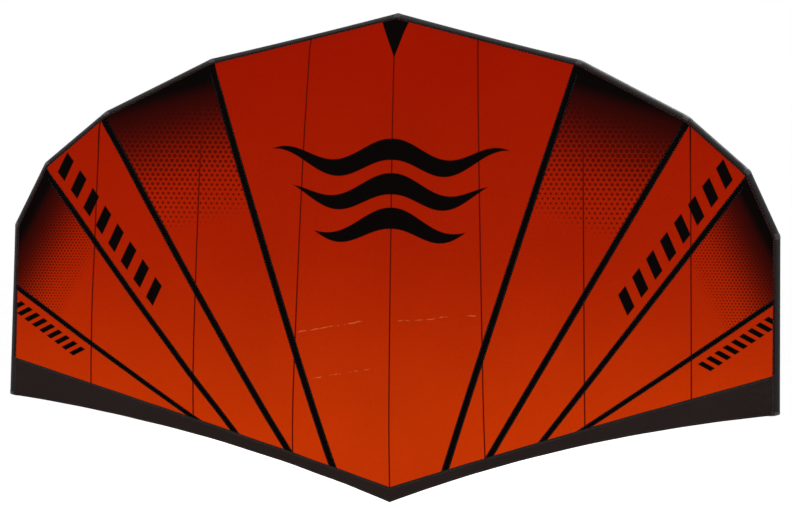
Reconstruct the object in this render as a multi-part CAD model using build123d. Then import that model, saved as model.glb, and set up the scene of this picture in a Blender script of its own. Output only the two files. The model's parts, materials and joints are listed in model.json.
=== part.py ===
"""Hand-held inflatable wing: an inflated leading-edge tube and strut that carry a cloth canopy.

Millimetres. The origin is the centre of the leading-edge tube on the wing's centre plane. +Z points to the
nose, +X along the span, and -Y away from the rider, so the canopy's outer side faces -Y and the strut,
handles and valves are on the +Y side. The wing is modelled hanging nose up.
"""

from build123d import *

import math
import os

# Driving dimensions of the planform: half span across and drop below the nose, from nose to tip corner
OUTLINE = [(0, 0), (791, 212), (1234, 446), (1485, 669), (1606, 934), (1616, 1653)]
CHORD = 2092
TRAILING_EDGE_MID = (820, 1812)
HEM_TOP = [(-30, 2036), (869, 1726), (1700, 1459)]
DIHEDRAL = 0.14
CANOPY_INSET = 25

# Leading-edge tube: its radius at the nose, at each bend and at the tip
TUBE_RADII = [100, 88, 76, 66, 55, 34]
CASING_WALL = 1.5
BLADDER_GAP = 1.5
BLADDER_WALL = 1.2
END_CLEARANCE = 3.0
TIP_PATCH = 2.0

# Canopy cloth
CLOTH = 1.2
CANOPY_GAP = 3.0
CAMBER = 90
CAMBER_REACH = 220
# Dark radial bands: start, end and width, as half span across and drop below the nose
BANDS = [
    ((776, 224), (238, 1950), 30),
    ((1228, 464), (433, 1869), 28),
    ((1477, 684), (654, 1798), 25),
    ((1595, 1186), (857, 1718), 21),
]
NOSE_PATCH_HALF_WIDTH = 78
NOSE_PATCH_DEPTH = 203

# Strut: height of each joint in its casing, and its radius there
STRUT_HEIGHTS = [-60, -640, -1240, -1880]
STRUT_RADII = [66, 62, 52, 38]
STRUT_GAP = 1.0
STRUT_FRONT = -118
END_PATCH_LENGTH = 26

# Handles: the webbing is a flat band, sewn to two anchors and led through a foam grip
WEBBING = 3
WEBBING_BAND = 25
HANDLE_AXIS_HEIGHT = 8
ANCHOR_CLEARANCE = 2.5
GRIP_RADIUS = 17
GRIP_FIT = 0.4
STRUT_HANDLE_ROOT = 138
STRUT_HANDLE_TOP = 112
STRUT_HANDLE_RISE = 62
FRONT_HANDLE_HEIGHT = -440
REAR_HANDLE_HEIGHT = -1010
NOSE_HANDLE_ROOT = 88
NOSE_HANDLE_TOP = 72
NOSE_HANDLE_RISE = 58
NOSE_HANDLE_HEIGHT = -12
ANCHOR_LENGTH = 62
ANCHOR_WIDTH = 44
ANCHOR_REACH = 120
TAB_DEPTH = 20
GRIP_ROUNDING = 5
SKIN_GAP = 0.4
PATCH_THICKNESS = 2.0

# Inflation valve, along its own axis out of the leading-edge tube
VALVE_SPAN = 260
VALVE_BORE = 11.0
VALVE_PATCH_RADIUS = 46
INSERT_RADIUS = 15.2
COLLAR_INNER = 15.5
COLLAR_OUTER = 20.0
FLANGE_RADIUS = 24
CAP_INNER = 20.6
CAP_OUTER = 23.0
CAP_HINGE_OFFSET = 28
CAP_HINGE_HEIGHT = 9
CAP_SKIRT = 8
CAP_TOP = 19.5
COLLAR_TOP = 12
BORE_FOOT = 1
BORE_MOUTH = 16
SPOKE = 2.5
SPOKE_LENGTH = 27
SPOKE_WIDTH = 2.4
HUB_RADIUS = 3.4
STEM_RADIUS = 1.3
COLLAR_DEPTH = 9
FLANGE_LOW = 2.8
FLANGE_HIGH = 4.8
INSERT_RIM = 19
EARS_WIDTH = 20
EAR_RADIUS = 3.2
KNUCKLE_WIDTH = 9.6
KNUCKLE_RADIUS = 3.0
LIP_THICKNESS = 3
FLAP_RADIUS = 13.4
FLAP_THICKNESS = 1.3
FLAP_GAP = 0.6
CAP_PIN_RADIUS = 1.2
CAP_PIN_FIT = 0.05

# Deflation valve on the strut's side
DUMP_HEIGHT = -760
DUMP_RADIUS = 14
DUMP_BORE = 9
DUMP_FLANGE = 20
DUMP_CAP_RADIUS = 13

# One-pump hose from the leading-edge tube to the strut
HOSE_RADIUS = 7
HOSE_WALL = 1.6
HOSE_SPAN = -120
HOSE_LEAVES = (0, 0.5, -0.866)
HOSE_STRUT_HEIGHT = -262
FITTING_RADIUS = 10
FITTING_FLANGE = 17
CLIP_SIZE = 24
CLIP_PIN = (-13.2, -14)

# Leash ring
RING_WIRE = 2.0
RING_HALF_WIDTH = 13
RING_DROP = 16
RING_HEIGHT = -176
RING_FIT = 0.4

# Zip on the strut, for taking the bladder out
ZIP_TOP = -1330
ZIP_BOTTOM = -1710
ZIP_HALF_WIDTH = 12
TEETH_HALF_WIDTH = 1.5
TEETH_HEIGHT = 2.9
ZIP_TAPE = 1.0
ZIP_END_MARGIN = 16
SLIDER_PARKED = 30
SLIDER_HEIGHT = 4.4

ALONG_X = Vector(1, 0, 0)
ALONG_Y = Vector(0, 1, 0)
ALONG_Z = Vector(0, 0, 1)
SPAN_DEPTH = 600

parts = {}


def save(name, shape):
    """Keeps one named sub-part."""
    parts[name] = shape


def save_pair(name, shape):
    """Keeps a right-hand sub-part and its mirror image."""
    save(name.format("right"), shape)
    save(name.format("left"), mirror(shape, about=Plane.YZ))


# ---------------------------------------------------------------- planform


def nose_height():
    """Height of the nose above the origin, where the two halves of the tube are mitred."""
    across, drop = OUTLINE[1]
    return TUBE_RADII[0] * math.hypot(across, drop) / across


NOSE = nose_height()


def flat(point):
    """A planform point, given as half span and drop below the nose, in the plane y = 0."""
    return Vector(point[0], 0, NOSE - point[1])


def inset_outline(insets):
    """The leading edge's outline moved inwards by one distance at each corner."""
    points = [flat(point) for point in OUTLINE]
    before = [Vector(-points[1].X, 0, points[1].Z)] + points
    moved = []
    for index, inset in enumerate(insets):
        corner = points[index]
        arriving = (corner - before[index]).normalized()
        leaving = arriving
        inward = Vector(arriving.Z, 0, -arriving.X)
        if index < len(points) - 1:
            leaving = (points[index + 1] - corner).normalized()
            inward = (leaving - arriving).normalized()
        moved.append(corner + inward * (inset / ((leaving + arriving).length / 2)))
    return moved


def interpolate(value, knots):
    """Straight-line interpolation in a table of (value, result), held constant past its ends."""
    if value >= knots[0][0]:
        return knots[0][1]
    for (high, high_result), (low, low_result) in zip(knots, knots[1:]):
        if value >= low:
            return low_result + (high_result - low_result) * (value - low) / (high - low)
    return knots[-1][1]


def distance_to_line(x, z, start, end):
    """Distance in the planform from a point to the endless line through two others."""
    along = (end - start).normalized()
    return abs((x - start.X) * along.Z - (z - start.Z) * along.X)


TUBE_LINE = inset_outline(TUBE_RADII)
TUBE_TOP = [(centre.Z, radius) for centre, radius in zip(TUBE_LINE, TUBE_RADII)]
TUBE_TOP.append((NOSE - CHORD, 22))


def canopy_depth(x, z):
    """Depth of the canopy's outer side: on the tube at the leading edge, cambered behind it."""
    corners = [flat(point) for point in OUTLINE]
    edges = list(zip(corners, corners[1:])) + [(corners[-1], Vector(0, 0, NOSE - CHORD))]
    camber = CAMBER
    for start, end in edges:
        distance = distance_to_line(x, z, start, end)
        camber *= distance**2 / (distance**2 + CAMBER_REACH**2)
    return -DIHEDRAL * x - interpolate(z, TUBE_TOP) - CANOPY_GAP - camber


# ---------------------------------------------------------------- tubes


def ellipse(centre, normal, stretch_along, stretched, plain):
    """A closed elliptical wire about a centre."""
    plane = Plane(origin=centre, x_dir=stretch_along, z_dir=normal)
    return Wire.make_ellipse(stretched, plain, plane)


def tube_stations():
    """Centre, plane normal, inward direction, radius and mitre of the tube, from left tip to right tip."""
    right = [Vector(centre.X, -DIHEDRAL * centre.X, centre.Z) for centre in TUBE_LINE]
    left = [Vector(-centre.X, centre.Y, centre.Z) for centre in reversed(right[1:])]
    centres = left + right
    radii = TUBE_RADII[:0:-1] + TUBE_RADII
    stations = []
    for index, (centre, radius) in enumerate(zip(centres, radii)):
        ends = centres[max(index - 1, 0)], centres[min(index + 1, len(centres) - 1)]
        arriving = (centre - ends[0]).normalized() if index > 0 else None
        leaving = (ends[1] - centre).normalized() if index < len(centres) - 1 else None
        if arriving is None or leaving is None:
            along = leaving or arriving
            towards = Vector(-centre.X, 0, 0)
            inward = (towards - along * towards.dot(along)).normalized()
            stations.append((centre, along, inward, radius, 1.0))
            continue
        mitre = (arriving + leaving).length / 2
        inward = (leaving - arriving).normalized()
        stations.append((centre, (arriving + leaving).normalized(), inward, radius, mitre))
    return stations


STATIONS = tube_stations()
NOSE_STATION = len(STATIONS) // 2


def tube_solid(first, last, grow, shorten=0.0):
    """The solid inside the leading-edge tube between two stations, with its radius grown."""
    rings = []
    for index in range(first, last + 1):
        centre, normal, inward, radius, mitre = STATIONS[index]
        if index == 0:
            centre = centre + normal * shorten
        if index == len(STATIONS) - 1:
            centre = centre - normal * shorten
        rings.append(ellipse(centre, normal, inward, (radius + grow) / mitre, radius + grow))
    return Solid.make_loft(rings, ruled=True)


def tube_skin(low, high):
    """A sheet that follows the outside of the tube near the nose."""
    span = NOSE_STATION - 1, NOSE_STATION + 1
    return tube_solid(*span, high) - tube_solid(*span, low)


def strut_centre(height, radius):
    """The strut's centre at a height, where its outer side just clears the canopy."""
    return Vector(0, canopy_depth(0, height) + CLOTH + STRUT_GAP + radius, height)


STRUT_CENTRES = [strut_centre(height, radius) for height, radius in zip(STRUT_HEIGHTS, STRUT_RADII)]


def strut_solid(grow, front=None, rear_trim=0.0):
    """The solid inside the strut with its radius grown, cut off at a height and short of its rear end."""
    rings = []
    last = len(STRUT_CENTRES) - 1
    for index, centre in enumerate(STRUT_CENTRES):
        before = STRUT_CENTRES[max(index - 1, 0)]
        after = STRUT_CENTRES[min(index + 1, last)]
        normal = (after - before).normalized()
        if index == last:
            centre = centre - normal * rear_trim
        radius = STRUT_RADII[index] + grow
        rings.append(ellipse(centre, normal, ALONG_X, radius, radius))
    solid = Solid.make_loft(rings, ruled=True)
    if front is not None:
        solid = solid & Pos(0, 0, front - 2000) * Box(400, 800, 4000)
    return solid


def strut_skin(low, high):
    """A sheet that follows the outside of the strut."""
    return strut_solid(high) - strut_solid(low)


def strut_side(height):
    """The strut's centre and radius at a height."""
    knots = list(zip(STRUT_HEIGHTS, STRUT_CENTRES))
    radius = interpolate(height, list(zip(STRUT_HEIGHTS, STRUT_RADII)))
    depth = interpolate(height, [(level, centre.Y) for level, centre in knots])
    return Vector(0, depth, height), radius


def frame_on_strut(height, reach, rise):
    """A plane on the rider's side of the strut: x towards the nose, y outwards."""
    ends = []
    for level in (height - reach, height + reach):
        centre, radius = strut_side(level)
        ends.append(centre + ALONG_Y * radius)
    along = (ends[1] - ends[0]).normalized()
    outward = along.cross(ALONG_X)
    middle = (ends[0] + ends[1]) * 0.5 + outward * rise
    return Plane(origin=middle, x_dir=along, z_dir=-ALONG_X)


# ---------------------------------------------------------------- canopy


def canopy_sheet():
    """The right half of the canopy as one curved sheet, wider than its planform."""
    width = OUTLINE[-1][0] + 30
    columns, rows = 15, 19
    points = []
    for column in range(columns + 1):
        x = -20 + (width + 20) * column / columns
        line = []
        for row in range(rows + 1):
            z = NOSE + 10 - (CHORD + 20) * row / rows
            line.append(Vector(x, canopy_depth(x, z), z))
        points.append(line)
    face = Face.make_surface_from_array_of_points(points, tol=0.8, min_deg=3, max_deg=5)
    return Solid.extrude(face, Vector(0, CLOTH, 0))


def prism(face):
    """A planform face carried right through the depth of the wing."""
    return extrude(face, amount=SPAN_DEPTH, dir=(0, 1, 0), both=True)


def polygon(points):
    """A flat face with straight sides."""
    return make_face(Polyline(*points, close=True))


def planform_face():
    """The right half of the canopy's planform."""
    edge = inset_outline([CANOPY_INSET] * len(OUTLINE))
    tail = Vector(0, 0, NOSE - CHORD)
    front = Polyline(tail, edge[0], *edge[1:])
    rear = ThreePointArc(edge[-1], flat(TRAILING_EDGE_MID), tail)
    return make_face(Curve() + [front, rear])


def hem_face():
    """Everything below the hem's upper edge."""
    upper = [flat(point) for point in HEM_TOP]
    low = NOSE - CHORD - 100
    corners = Polyline(upper[2], Vector(upper[2].X, 0, low), Vector(upper[0].X, 0, low), upper[0])
    return make_face(Curve() + [ThreePointArc(*upper), corners])


def band_face(start, end, width):
    """One radial band, longer than the canopy at both ends."""
    first, last = flat(start), flat(end)
    along = (last - first).normalized()
    across = Vector(along.Z, 0, -along.X) * (width / 2)
    first, last = first - along * 80, last + along * 80
    return polygon([first + across, last + across, last - across, first - across])


def nose_face():
    """Right half of the V patch at the nose."""
    top = Vector(0, 0, NOSE + 10)
    side = Vector(NOSE_PATCH_HALF_WIDTH, 0, NOSE + 10)
    return polygon([Vector(0, 0, NOSE - NOSE_PATCH_DEPTH), side, top])


def add_canopy():
    """Canopy panels, radial bands, hem and nose patch, cut edge to edge from one sheet."""
    sheet = canopy_sheet()
    planform = planform_face()
    hem = planform & hem_face()
    field = planform - hem_face()
    nose = field & nose_face()
    field = field - nose_face()
    bands = [band_face(*band) for band in BANDS]
    for number, band in enumerate(bands, 1):
        save_pair("radial_band_{}_" + str(number), sheet & prism(field & band))
        field = field - band
    panels = [face for face in field.faces() if face.area > 1000]
    panels.sort(key=lambda face: face.center().X)
    for number, panel in enumerate(panels, 1):
        save_pair("canopy_panel_{}_" + str(number), sheet & prism(panel))
    save_pair("trailing_edge_hem_{}", sheet & prism(hem))
    patch = sheet & prism(nose)
    save("nose_patch", patch + mirror(patch, about=Plane.YZ))


# ---------------------------------------------------------------- inflated tubes


def valve_plane():
    """The inflation valve's plane on the tube: x along the tube, z out of it towards the rider."""
    first, last = STATIONS[NOSE_STATION], STATIONS[NOSE_STATION + 1]
    share = VALVE_SPAN / last[0].X
    centre = first[0] + (last[0] - first[0]) * share
    radius = first[3] + (last[3] - first[3]) * share
    along = (last[0] - first[0]).normalized()
    outward = (ALONG_Y - along * along.Y).normalized()
    return Plane(origin=centre + outward * radius, x_dir=along, z_dir=outward)


def dump_plane():
    """The deflation valve's plane on the strut's right side, z outwards."""
    centre, radius = strut_side(DUMP_HEIGHT)
    return Plane(origin=centre + ALONG_X * radius, x_dir=ALONG_Z, z_dir=ALONG_X)


def disc(plane, radius, low, high):
    """A round solid on a plane, from one height to another."""
    return plane * Pos(0, 0, (low + high) / 2) * Cylinder(radius, high - low)


def ring(plane, outer, inner, low, high):
    """A round solid on a plane with a hole through it."""
    return disc(plane, outer, low, high) - disc(plane, inner, low - 1, high + 1)


def add_leading_edge():
    """Ten casing lengths, two end patches and the bladder inside them."""
    last = len(STATIONS) - 1
    hole = disc(valve_plane(), COLLAR_OUTER + 0.3, -30, 20)
    for index in range(last):
        length = tube_solid(index, index + 1, 0) - tube_solid(index, index + 1, -CASING_WALL)
        side = "left" if index < NOSE_STATION else "right"
        number = NOSE_STATION - index if side == "left" else index - NOSE_STATION + 1
        if (side, number) == ("right", 1):
            length = length - hole
        save(f"leading_edge_casing_{side}_{number}", length)
    centre, along, inward, radius, _ = STATIONS[last]
    tip = Plane(origin=centre, x_dir=inward, z_dir=along)
    patch = disc(tip, radius, 0, TIP_PATCH)
    save("tip_end_patches", Compound(children=[patch, mirror(patch, about=Plane.YZ)]))
    outer = tube_solid(0, last, -CASING_WALL - BLADDER_GAP, TIP_PATCH)
    inner = tube_solid(0, last, -CASING_WALL - BLADDER_GAP - BLADDER_WALL, TIP_PATCH + BLADDER_WALL)
    save("leading_edge_bladder", outer - inner - hole)


def add_strut():
    """Strut casing with its front cut to the tube, its end patch and its bladder."""
    nose_tube = tube_solid(NOSE_STATION - 1, NOSE_STATION + 1, 0.5)
    hole = disc(dump_plane(), DUMP_RADIUS + 0.3, -20, 10)
    casing = strut_solid(0) - strut_solid(-CASING_WALL) - nose_tube - hole
    save("strut_casing", max(casing.solids(), key=lambda solid: solid.volume))
    outer = strut_solid(-CASING_WALL - BLADDER_GAP, STRUT_FRONT, END_CLEARANCE)
    depth = CASING_WALL + BLADDER_GAP + BLADDER_WALL
    inner = strut_solid(-depth, STRUT_FRONT - BLADDER_WALL, END_CLEARANCE + BLADDER_WALL)
    save("strut_bladder", outer - inner - hole)
    along = (STRUT_CENTRES[-1] - STRUT_CENTRES[-2]).normalized()
    rear = ellipse(STRUT_CENTRES[-1], along, ALONG_X, STRUT_RADII[-1], STRUT_RADII[-1])
    small = STRUT_RADII[-1] * 0.55
    tail = ellipse(STRUT_CENTRES[-1] + along * END_PATCH_LENGTH, along, ALONG_X, small, small)
    save("strut_end_patch", Solid.make_loft([rear, tail], ruled=True))


# ---------------------------------------------------------------- handles


def webbing_loop(plane, root, top, rise):
    """A flat band of webbing bent into a handle in one plane, its ends at the plane's x axis."""
    half_band = WEBBING_BAND / 2
    start = -WEBBING / 2
    outer = [(-root, start), (-top, rise + half_band), (top, rise + half_band), (root, start)]
    side = root - WEBBING_BAND
    inner_top = top - WEBBING_BAND
    foot, ceiling = start - 1, rise - half_band
    window = [(-side, foot), (-inner_top, ceiling), (inner_top, ceiling), (side, foot)]
    shape = Polygon(*outer, align=None) - Polygon(*window, align=None)
    return plane * extrude(shape, amount=WEBBING / 2, both=True)


def foam_grip(plane, top, rise):
    """A round foam grip with a slot for the webbing."""
    length = 2 * (top - WEBBING_BAND) - 4
    bar = Rot(0, 90, 0) * Cylinder(GRIP_RADIUS, length)
    bar = fillet(bar.edges().filter_by(GeomType.CIRCLE), GRIP_ROUNDING)
    slot = Box(length + 10, WEBBING_BAND + 2 * GRIP_FIT, WEBBING + 2 * GRIP_FIT)
    return plane * Pos(0, rise, 0) * (bar - slot)


def anchor_tab(plane, where, depth):
    """The sewn end of the webbing, from inside the patch up to just under the handle's axis."""
    top = -ANCHOR_CLEARANCE
    return plane * Pos(where, top - depth / 2, 0) * Box(WEBBING_BAND, depth, WEBBING)


def add_strut_handles():
    """Both strut handles, each with its webbing and grip, and their four anchors."""
    skin = strut_skin(SKIN_GAP, SKIN_GAP + PATCH_THICKNESS)
    inside = strut_solid(SKIN_GAP + PATCH_THICKNESS / 2)
    anchors = []
    for name, height in (("front", FRONT_HANDLE_HEIGHT), ("rear", REAR_HANDLE_HEIGHT)):
        plane = frame_on_strut(height, STRUT_HANDLE_ROOT, HANDLE_AXIS_HEIGHT)
        webbing = webbing_loop(plane, STRUT_HANDLE_ROOT, STRUT_HANDLE_TOP, STRUT_HANDLE_RISE)
        save(f"{name}_handle_webbing", webbing)
        save(f"{name}_handle_grip", foam_grip(plane, STRUT_HANDLE_TOP, STRUT_HANDLE_RISE))
        for sign in (-1, 1):
            where = sign * (STRUT_HANDLE_ROOT - WEBBING_BAND / 2)
            patch = skin & (plane * Pos(where, 0, 0) * Box(ANCHOR_LENGTH, ANCHOR_REACH / 2, ANCHOR_WIDTH))
            anchors.append(patch + (anchor_tab(plane, where, TAB_DEPTH) - inside))
    solids = [solid for anchor in anchors for solid in anchor.solids()]
    save("strut_handle_anchors", Compound(children=solids))


def add_nose_handle():
    """The leading-edge handle, which hangs from an axis along X behind the tube."""
    origin = Vector(0, TUBE_RADII[0] + HANDLE_AXIS_HEIGHT, NOSE_HANDLE_HEIGHT)
    plane = Plane(origin=origin, x_dir=ALONG_X, z_dir=ALONG_Y)
    webbing = webbing_loop(plane, NOSE_HANDLE_ROOT, NOSE_HANDLE_TOP, NOSE_HANDLE_RISE)
    save("leading_edge_handle_webbing", webbing)
    save("leading_edge_handle_grip", foam_grip(plane, NOSE_HANDLE_TOP, NOSE_HANDLE_RISE))
    skin = tube_skin(SKIN_GAP, SKIN_GAP + PATCH_THICKNESS)
    span = NOSE_STATION - 1, NOSE_STATION + 1
    inside = tube_solid(*span, SKIN_GAP + PATCH_THICKNESS / 2)
    anchors = []
    for sign in (-1, 1):
        where = sign * (NOSE_HANDLE_ROOT - WEBBING_BAND / 2)
        outline = Box(ANCHOR_WIDTH, ANCHOR_REACH, ANCHOR_LENGTH)
        patch = skin & (Pos(where, TUBE_RADII[0], NOSE_HANDLE_HEIGHT) * outline)
        top = origin.Y - ANCHOR_CLEARANCE
        tab = Pos(where, top - TAB_DEPTH, NOSE_HANDLE_HEIGHT) * Box(WEBBING_BAND, 2 * TAB_DEPTH, WEBBING)
        anchors.append(patch + (tab - inside))
    solids = [solid for anchor in anchors for solid in anchor.solids()]
    save("leading_edge_handle_anchors", Compound(children=solids))


def add_leash_ring():
    """A steel D ring that swings in a sewn sleeve at the strut's front end."""
    plane = frame_on_strut(RING_HEIGHT, 20, 6)
    bar = Plane(origin=plane.origin, x_dir=plane.x_dir, z_dir=ALONG_X)
    hang = -ALONG_Z
    corner = plane.origin + ALONG_X * RING_HALF_WIDTH
    other = plane.origin - ALONG_X * RING_HALF_WIDTH
    bend = 5.0
    lower = [point + hang * RING_DROP for point in (corner, other)]
    wire = FilletPolyline(other, corner, lower[0], lower[1], close=True, radius=bend)
    start = (corner + other) * 0.5
    section = Plane(origin=start, x_dir=ALONG_Z, z_dir=ALONG_X) * Circle(RING_WIRE)
    save("leash_ring", sweep(section, path=wire))
    sleeve_length = 2 * (RING_HALF_WIDTH - bend) - 1
    skin = strut_skin(SKIN_GAP, SKIN_GAP + PATCH_THICKNESS)
    patch = skin & (plane * Box(40, 60, 36))
    sleeve = bar * Cylinder(RING_WIRE + RING_FIT + 1.2, sleeve_length)
    foot = plane * Pos(0, -4, 0) * Box(5, 8, sleeve_length)
    bore = bar * Cylinder(RING_WIRE + RING_FIT, 60)
    inside = strut_solid(SKIN_GAP + PATCH_THICKNESS / 2)
    save("leash_ring_sleeve", patch + ((sleeve + foot) - inside) - bore)


# ---------------------------------------------------------------- valves


def cap_hinge(plane):
    """The hinge line of the cap, at the upper side of the valve."""
    return plane * Pos(0, -CAP_HINGE_OFFSET, CAP_HINGE_HEIGHT) * Rot(0, 90, 0)


def add_valve_base(plane):
    """Collar, flange and hinge ears of the inflation valve, and the cap's hinge pin."""
    hinge = cap_hinge(plane)
    collar = ring(plane, COLLAR_OUTER, COLLAR_INNER, -COLLAR_DEPTH, COLLAR_TOP)
    flange = ring(plane, FLANGE_RADIUS, COLLAR_INNER, FLANGE_LOW, FLANGE_HIGH)
    block = plane * Pos(0, 1.8 - CAP_HINGE_OFFSET, 5.9) * Box(EARS_WIDTH, 10.4, 6.2)
    ears = block + hinge * Cylinder(EAR_RADIUS, EARS_WIDTH)
    ears = ears - plane * Pos(0, -CAP_HINGE_OFFSET, 9.5) * Box(KNUCKLE_WIDTH + 1, 15, 10)
    ears = ears - disc(plane, CAP_OUTER + 0.5, CAP_SKIRT - 0.9, 30) - disc(plane, COLLAR_OUTER - 1, -30, 30)
    save("inflation_valve_base", (collar + flange + ears) - hinge * Cylinder(CAP_PIN_RADIUS, 2 * EARS_WIDTH))
    save("valve_cap_pin", hinge * Cylinder(CAP_PIN_RADIUS, EARS_WIDTH))


def add_valve_insert(plane):
    """The bayonet insert with its spoked floor, and the check flap that hangs from its hub."""
    floor = BORE_FOOT - SPOKE
    insert = ring(plane, INSERT_RADIUS, VALVE_BORE, BORE_FOOT, BORE_MOUTH)
    insert = insert + ring(plane, INSERT_RADIUS, VALVE_BORE + 1.2, floor, BORE_FOOT)
    insert = insert + ring(plane, INSERT_RIM, VALVE_BORE, COLLAR_TOP + 0.4, BORE_MOUTH)
    cross = Box(SPOKE_LENGTH, SPOKE_WIDTH, SPOKE) + Box(SPOKE_WIDTH, SPOKE_LENGTH, SPOKE)
    spokes = plane * Pos(0, 0, (floor + BORE_FOOT) / 2) * cross
    hub = disc(plane, HUB_RADIUS, floor, BORE_FOOT)
    insert = insert + ((spokes + hub) - disc(plane, STEM_RADIUS + 0.4, -9, 9))
    for quarter in range(4):
        notch = Rot(0, 0, 45 + 90 * quarter) * Pos(INSERT_RIM + 0.4, 0, BORE_MOUTH) * Box(3, 6, 8)
        insert = insert - plane * notch
    save("inflation_valve_insert", insert)
    flap_top = floor - FLAP_GAP
    flap = disc(plane, FLAP_RADIUS, flap_top - FLAP_THICKNESS, flap_top)
    save("check_flap", flap + disc(plane, STEM_RADIUS, flap_top - 0.1, BORE_FOOT - 0.3))


def add_valve_cap(plane):
    """The cap, a cup with a hinge knuckle and a lip to lift it by."""
    hinge = cap_hinge(plane)
    cup = disc(plane, CAP_OUTER, CAP_SKIRT, CAP_TOP) - disc(plane, CAP_INNER, CAP_SKIRT - 1, BORE_MOUTH + 1)
    web = Pos(0, 3.4 - CAP_HINGE_OFFSET, CAP_HINGE_HEIGHT + 0.6) * Box(KNUCKLE_WIDTH, 6, 4)
    knuckle = hinge * Cylinder(KNUCKLE_RADIUS, KNUCKLE_WIDTH) + plane * web
    cup = cup + (knuckle - disc(plane, CAP_INNER, -30, 30))
    half_lip = LIP_THICKNESS / 2
    lip = plane * Pos(0, CAP_OUTER + half_lip, CAP_TOP - half_lip) * Box(12, 6, LIP_THICKNESS)
    save("inflation_valve_cap", cup + lip - hinge * Cylinder(CAP_PIN_RADIUS + CAP_PIN_FIT, 2 * EARS_WIDTH))


def add_inflation_valve():
    """Patch, base, bayonet insert, check flap, cap and hinge pin."""
    plane = valve_plane()
    patch = tube_skin(SKIN_GAP, SKIN_GAP + PATCH_THICKNESS) & disc(plane, VALVE_PATCH_RADIUS, -20, 20)
    save("inflation_valve_patch", patch - disc(plane, COLLAR_OUTER + 0.3, -30, 30))
    add_valve_base(plane)
    add_valve_insert(plane)
    add_valve_cap(plane)


def add_deflation_valve():
    """Base and twist cap on the strut's side."""
    plane = dump_plane()
    base = ring(plane, DUMP_RADIUS, DUMP_BORE, -8, 6) + ring(plane, DUMP_FLANGE, DUMP_BORE, 0.6, 2.6)
    save("deflation_valve_base", base)
    cap = disc(plane, DUMP_CAP_RADIUS, 6.4, 9) + disc(plane, DUMP_BORE - 0.3, 0, 7)
    cap = cap + plane * Pos(0, 0, 10.5) * Box(20, 4, 4)
    save("deflation_valve_cap", cap)


# ---------------------------------------------------------------- hose, clip and zip


def hose_route():
    """The hose's corners: out of the leading-edge tube, down, and into the strut's left side."""
    first, last = STATIONS[NOSE_STATION], STATIONS[NOSE_STATION - 1]
    share = HOSE_SPAN / last[0].X
    centre = first[0] + (last[0] - first[0]) * share
    radius = first[3] + (last[3] - first[3]) * share
    along = (last[0] - first[0]).normalized()
    leaves = Vector(*HOSE_LEAVES)
    leaves = (leaves - along * leaves.dot(along)).normalized()
    start = centre + leaves * (radius + 1)
    strut, strut_radius = strut_side(HOSE_STRUT_HEIGHT)
    end = strut - ALONG_X * (strut_radius + 1)
    outer = end - ALONG_X * 52
    return [start, start + leaves * 46, outer + Vector(-4, 18, 36), outer, end]


def corner_radii(points):
    """The largest radius that each corner of a route has room for."""
    radii = []
    for before, corner, after in zip(points, points[1:], points[2:]):
        arriving, leaving = corner - before, after - corner
        half_turn = math.radians(arriving.get_angle(leaving)) / 2
        radii.append(0.45 * min(arriving.length, leaving.length) / math.tan(half_turn))
    return radii


def fitting(origin, outward):
    """A hose tail with a flange, on the outside of a tube."""
    plane = Plane(origin=origin, z_dir=outward)
    tail = disc(plane, FITTING_RADIUS, 0.2, 22) + disc(plane, FITTING_FLANGE, 0.2, 2.2)
    return tail - disc(plane, HOSE_RADIUS, -20, 60)


def add_hose():
    """Hose, its two fittings, and the pinch clip with its lever."""
    route = hose_route()
    radii = corner_radii(route)
    print("hose corner radii", [round(radius, 1) for radius in radii])
    path = FilletPolyline(*route, radius=radii)
    leaves = (route[1] - route[0]).normalized()
    plane = Plane(origin=route[0], z_dir=leaves)
    bore = HOSE_RADIUS - HOSE_WALL
    hose = sweep(plane * Circle(HOSE_RADIUS), path=path) - sweep(plane * Circle(bore), path=path)
    expected = math.pi * (HOSE_RADIUS**2 - bore**2) * path.length
    print("hose length", round(path.length), "volume over expected", round(hose.volume / expected, 4))
    save("one_pump_hose", hose)
    save("hose_fittings", Compound(children=[fitting(route[0], leaves), fitting(route[-1], -ALONG_X)]))

    add_hose_clip(route[1], route[2])


def add_hose_clip(above, below):
    """The pinch clip round the hose's longest run, with its lever on a pin behind it."""
    run = (below - above).normalized()
    across = ALONG_X.cross(run).normalized()
    clip = Plane(origin=(above + below) * 0.5, x_dir=across, z_dir=run)
    pin = Pos(0, *CLIP_PIN) * Rot(0, 90, 0)
    body = Box(CLIP_SIZE, 20, CLIP_SIZE) - Cylinder(HOSE_RADIUS + 0.3, 40) - Pos(0, -10, 0) * Box(8, 10, 14)
    for side in (-1, 1):
        body = body + Pos(side * 7.9, -12.5, -12) * Box(3, 7, 10)
    save("hose_clip_body", clip * (body + pin * Cylinder(CAP_PIN_RADIUS, 18)))
    lever = Pos(0, CLIP_PIN[0], 1) * Box(12, 4, 34) + Pos(0, -10.2, 0) * Box(7, 4, 10)
    save("hose_clip_lever", clip * (lever - pin * Cylinder(CAP_PIN_RADIUS + CAP_PIN_FIT, 40)))
    hinge = clip.from_local_coords((0, *CLIP_PIN))
    print("clip lever hinge", tuple(round(value, 2) for value in hinge), "axis", tuple(clip.x_dir))


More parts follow.
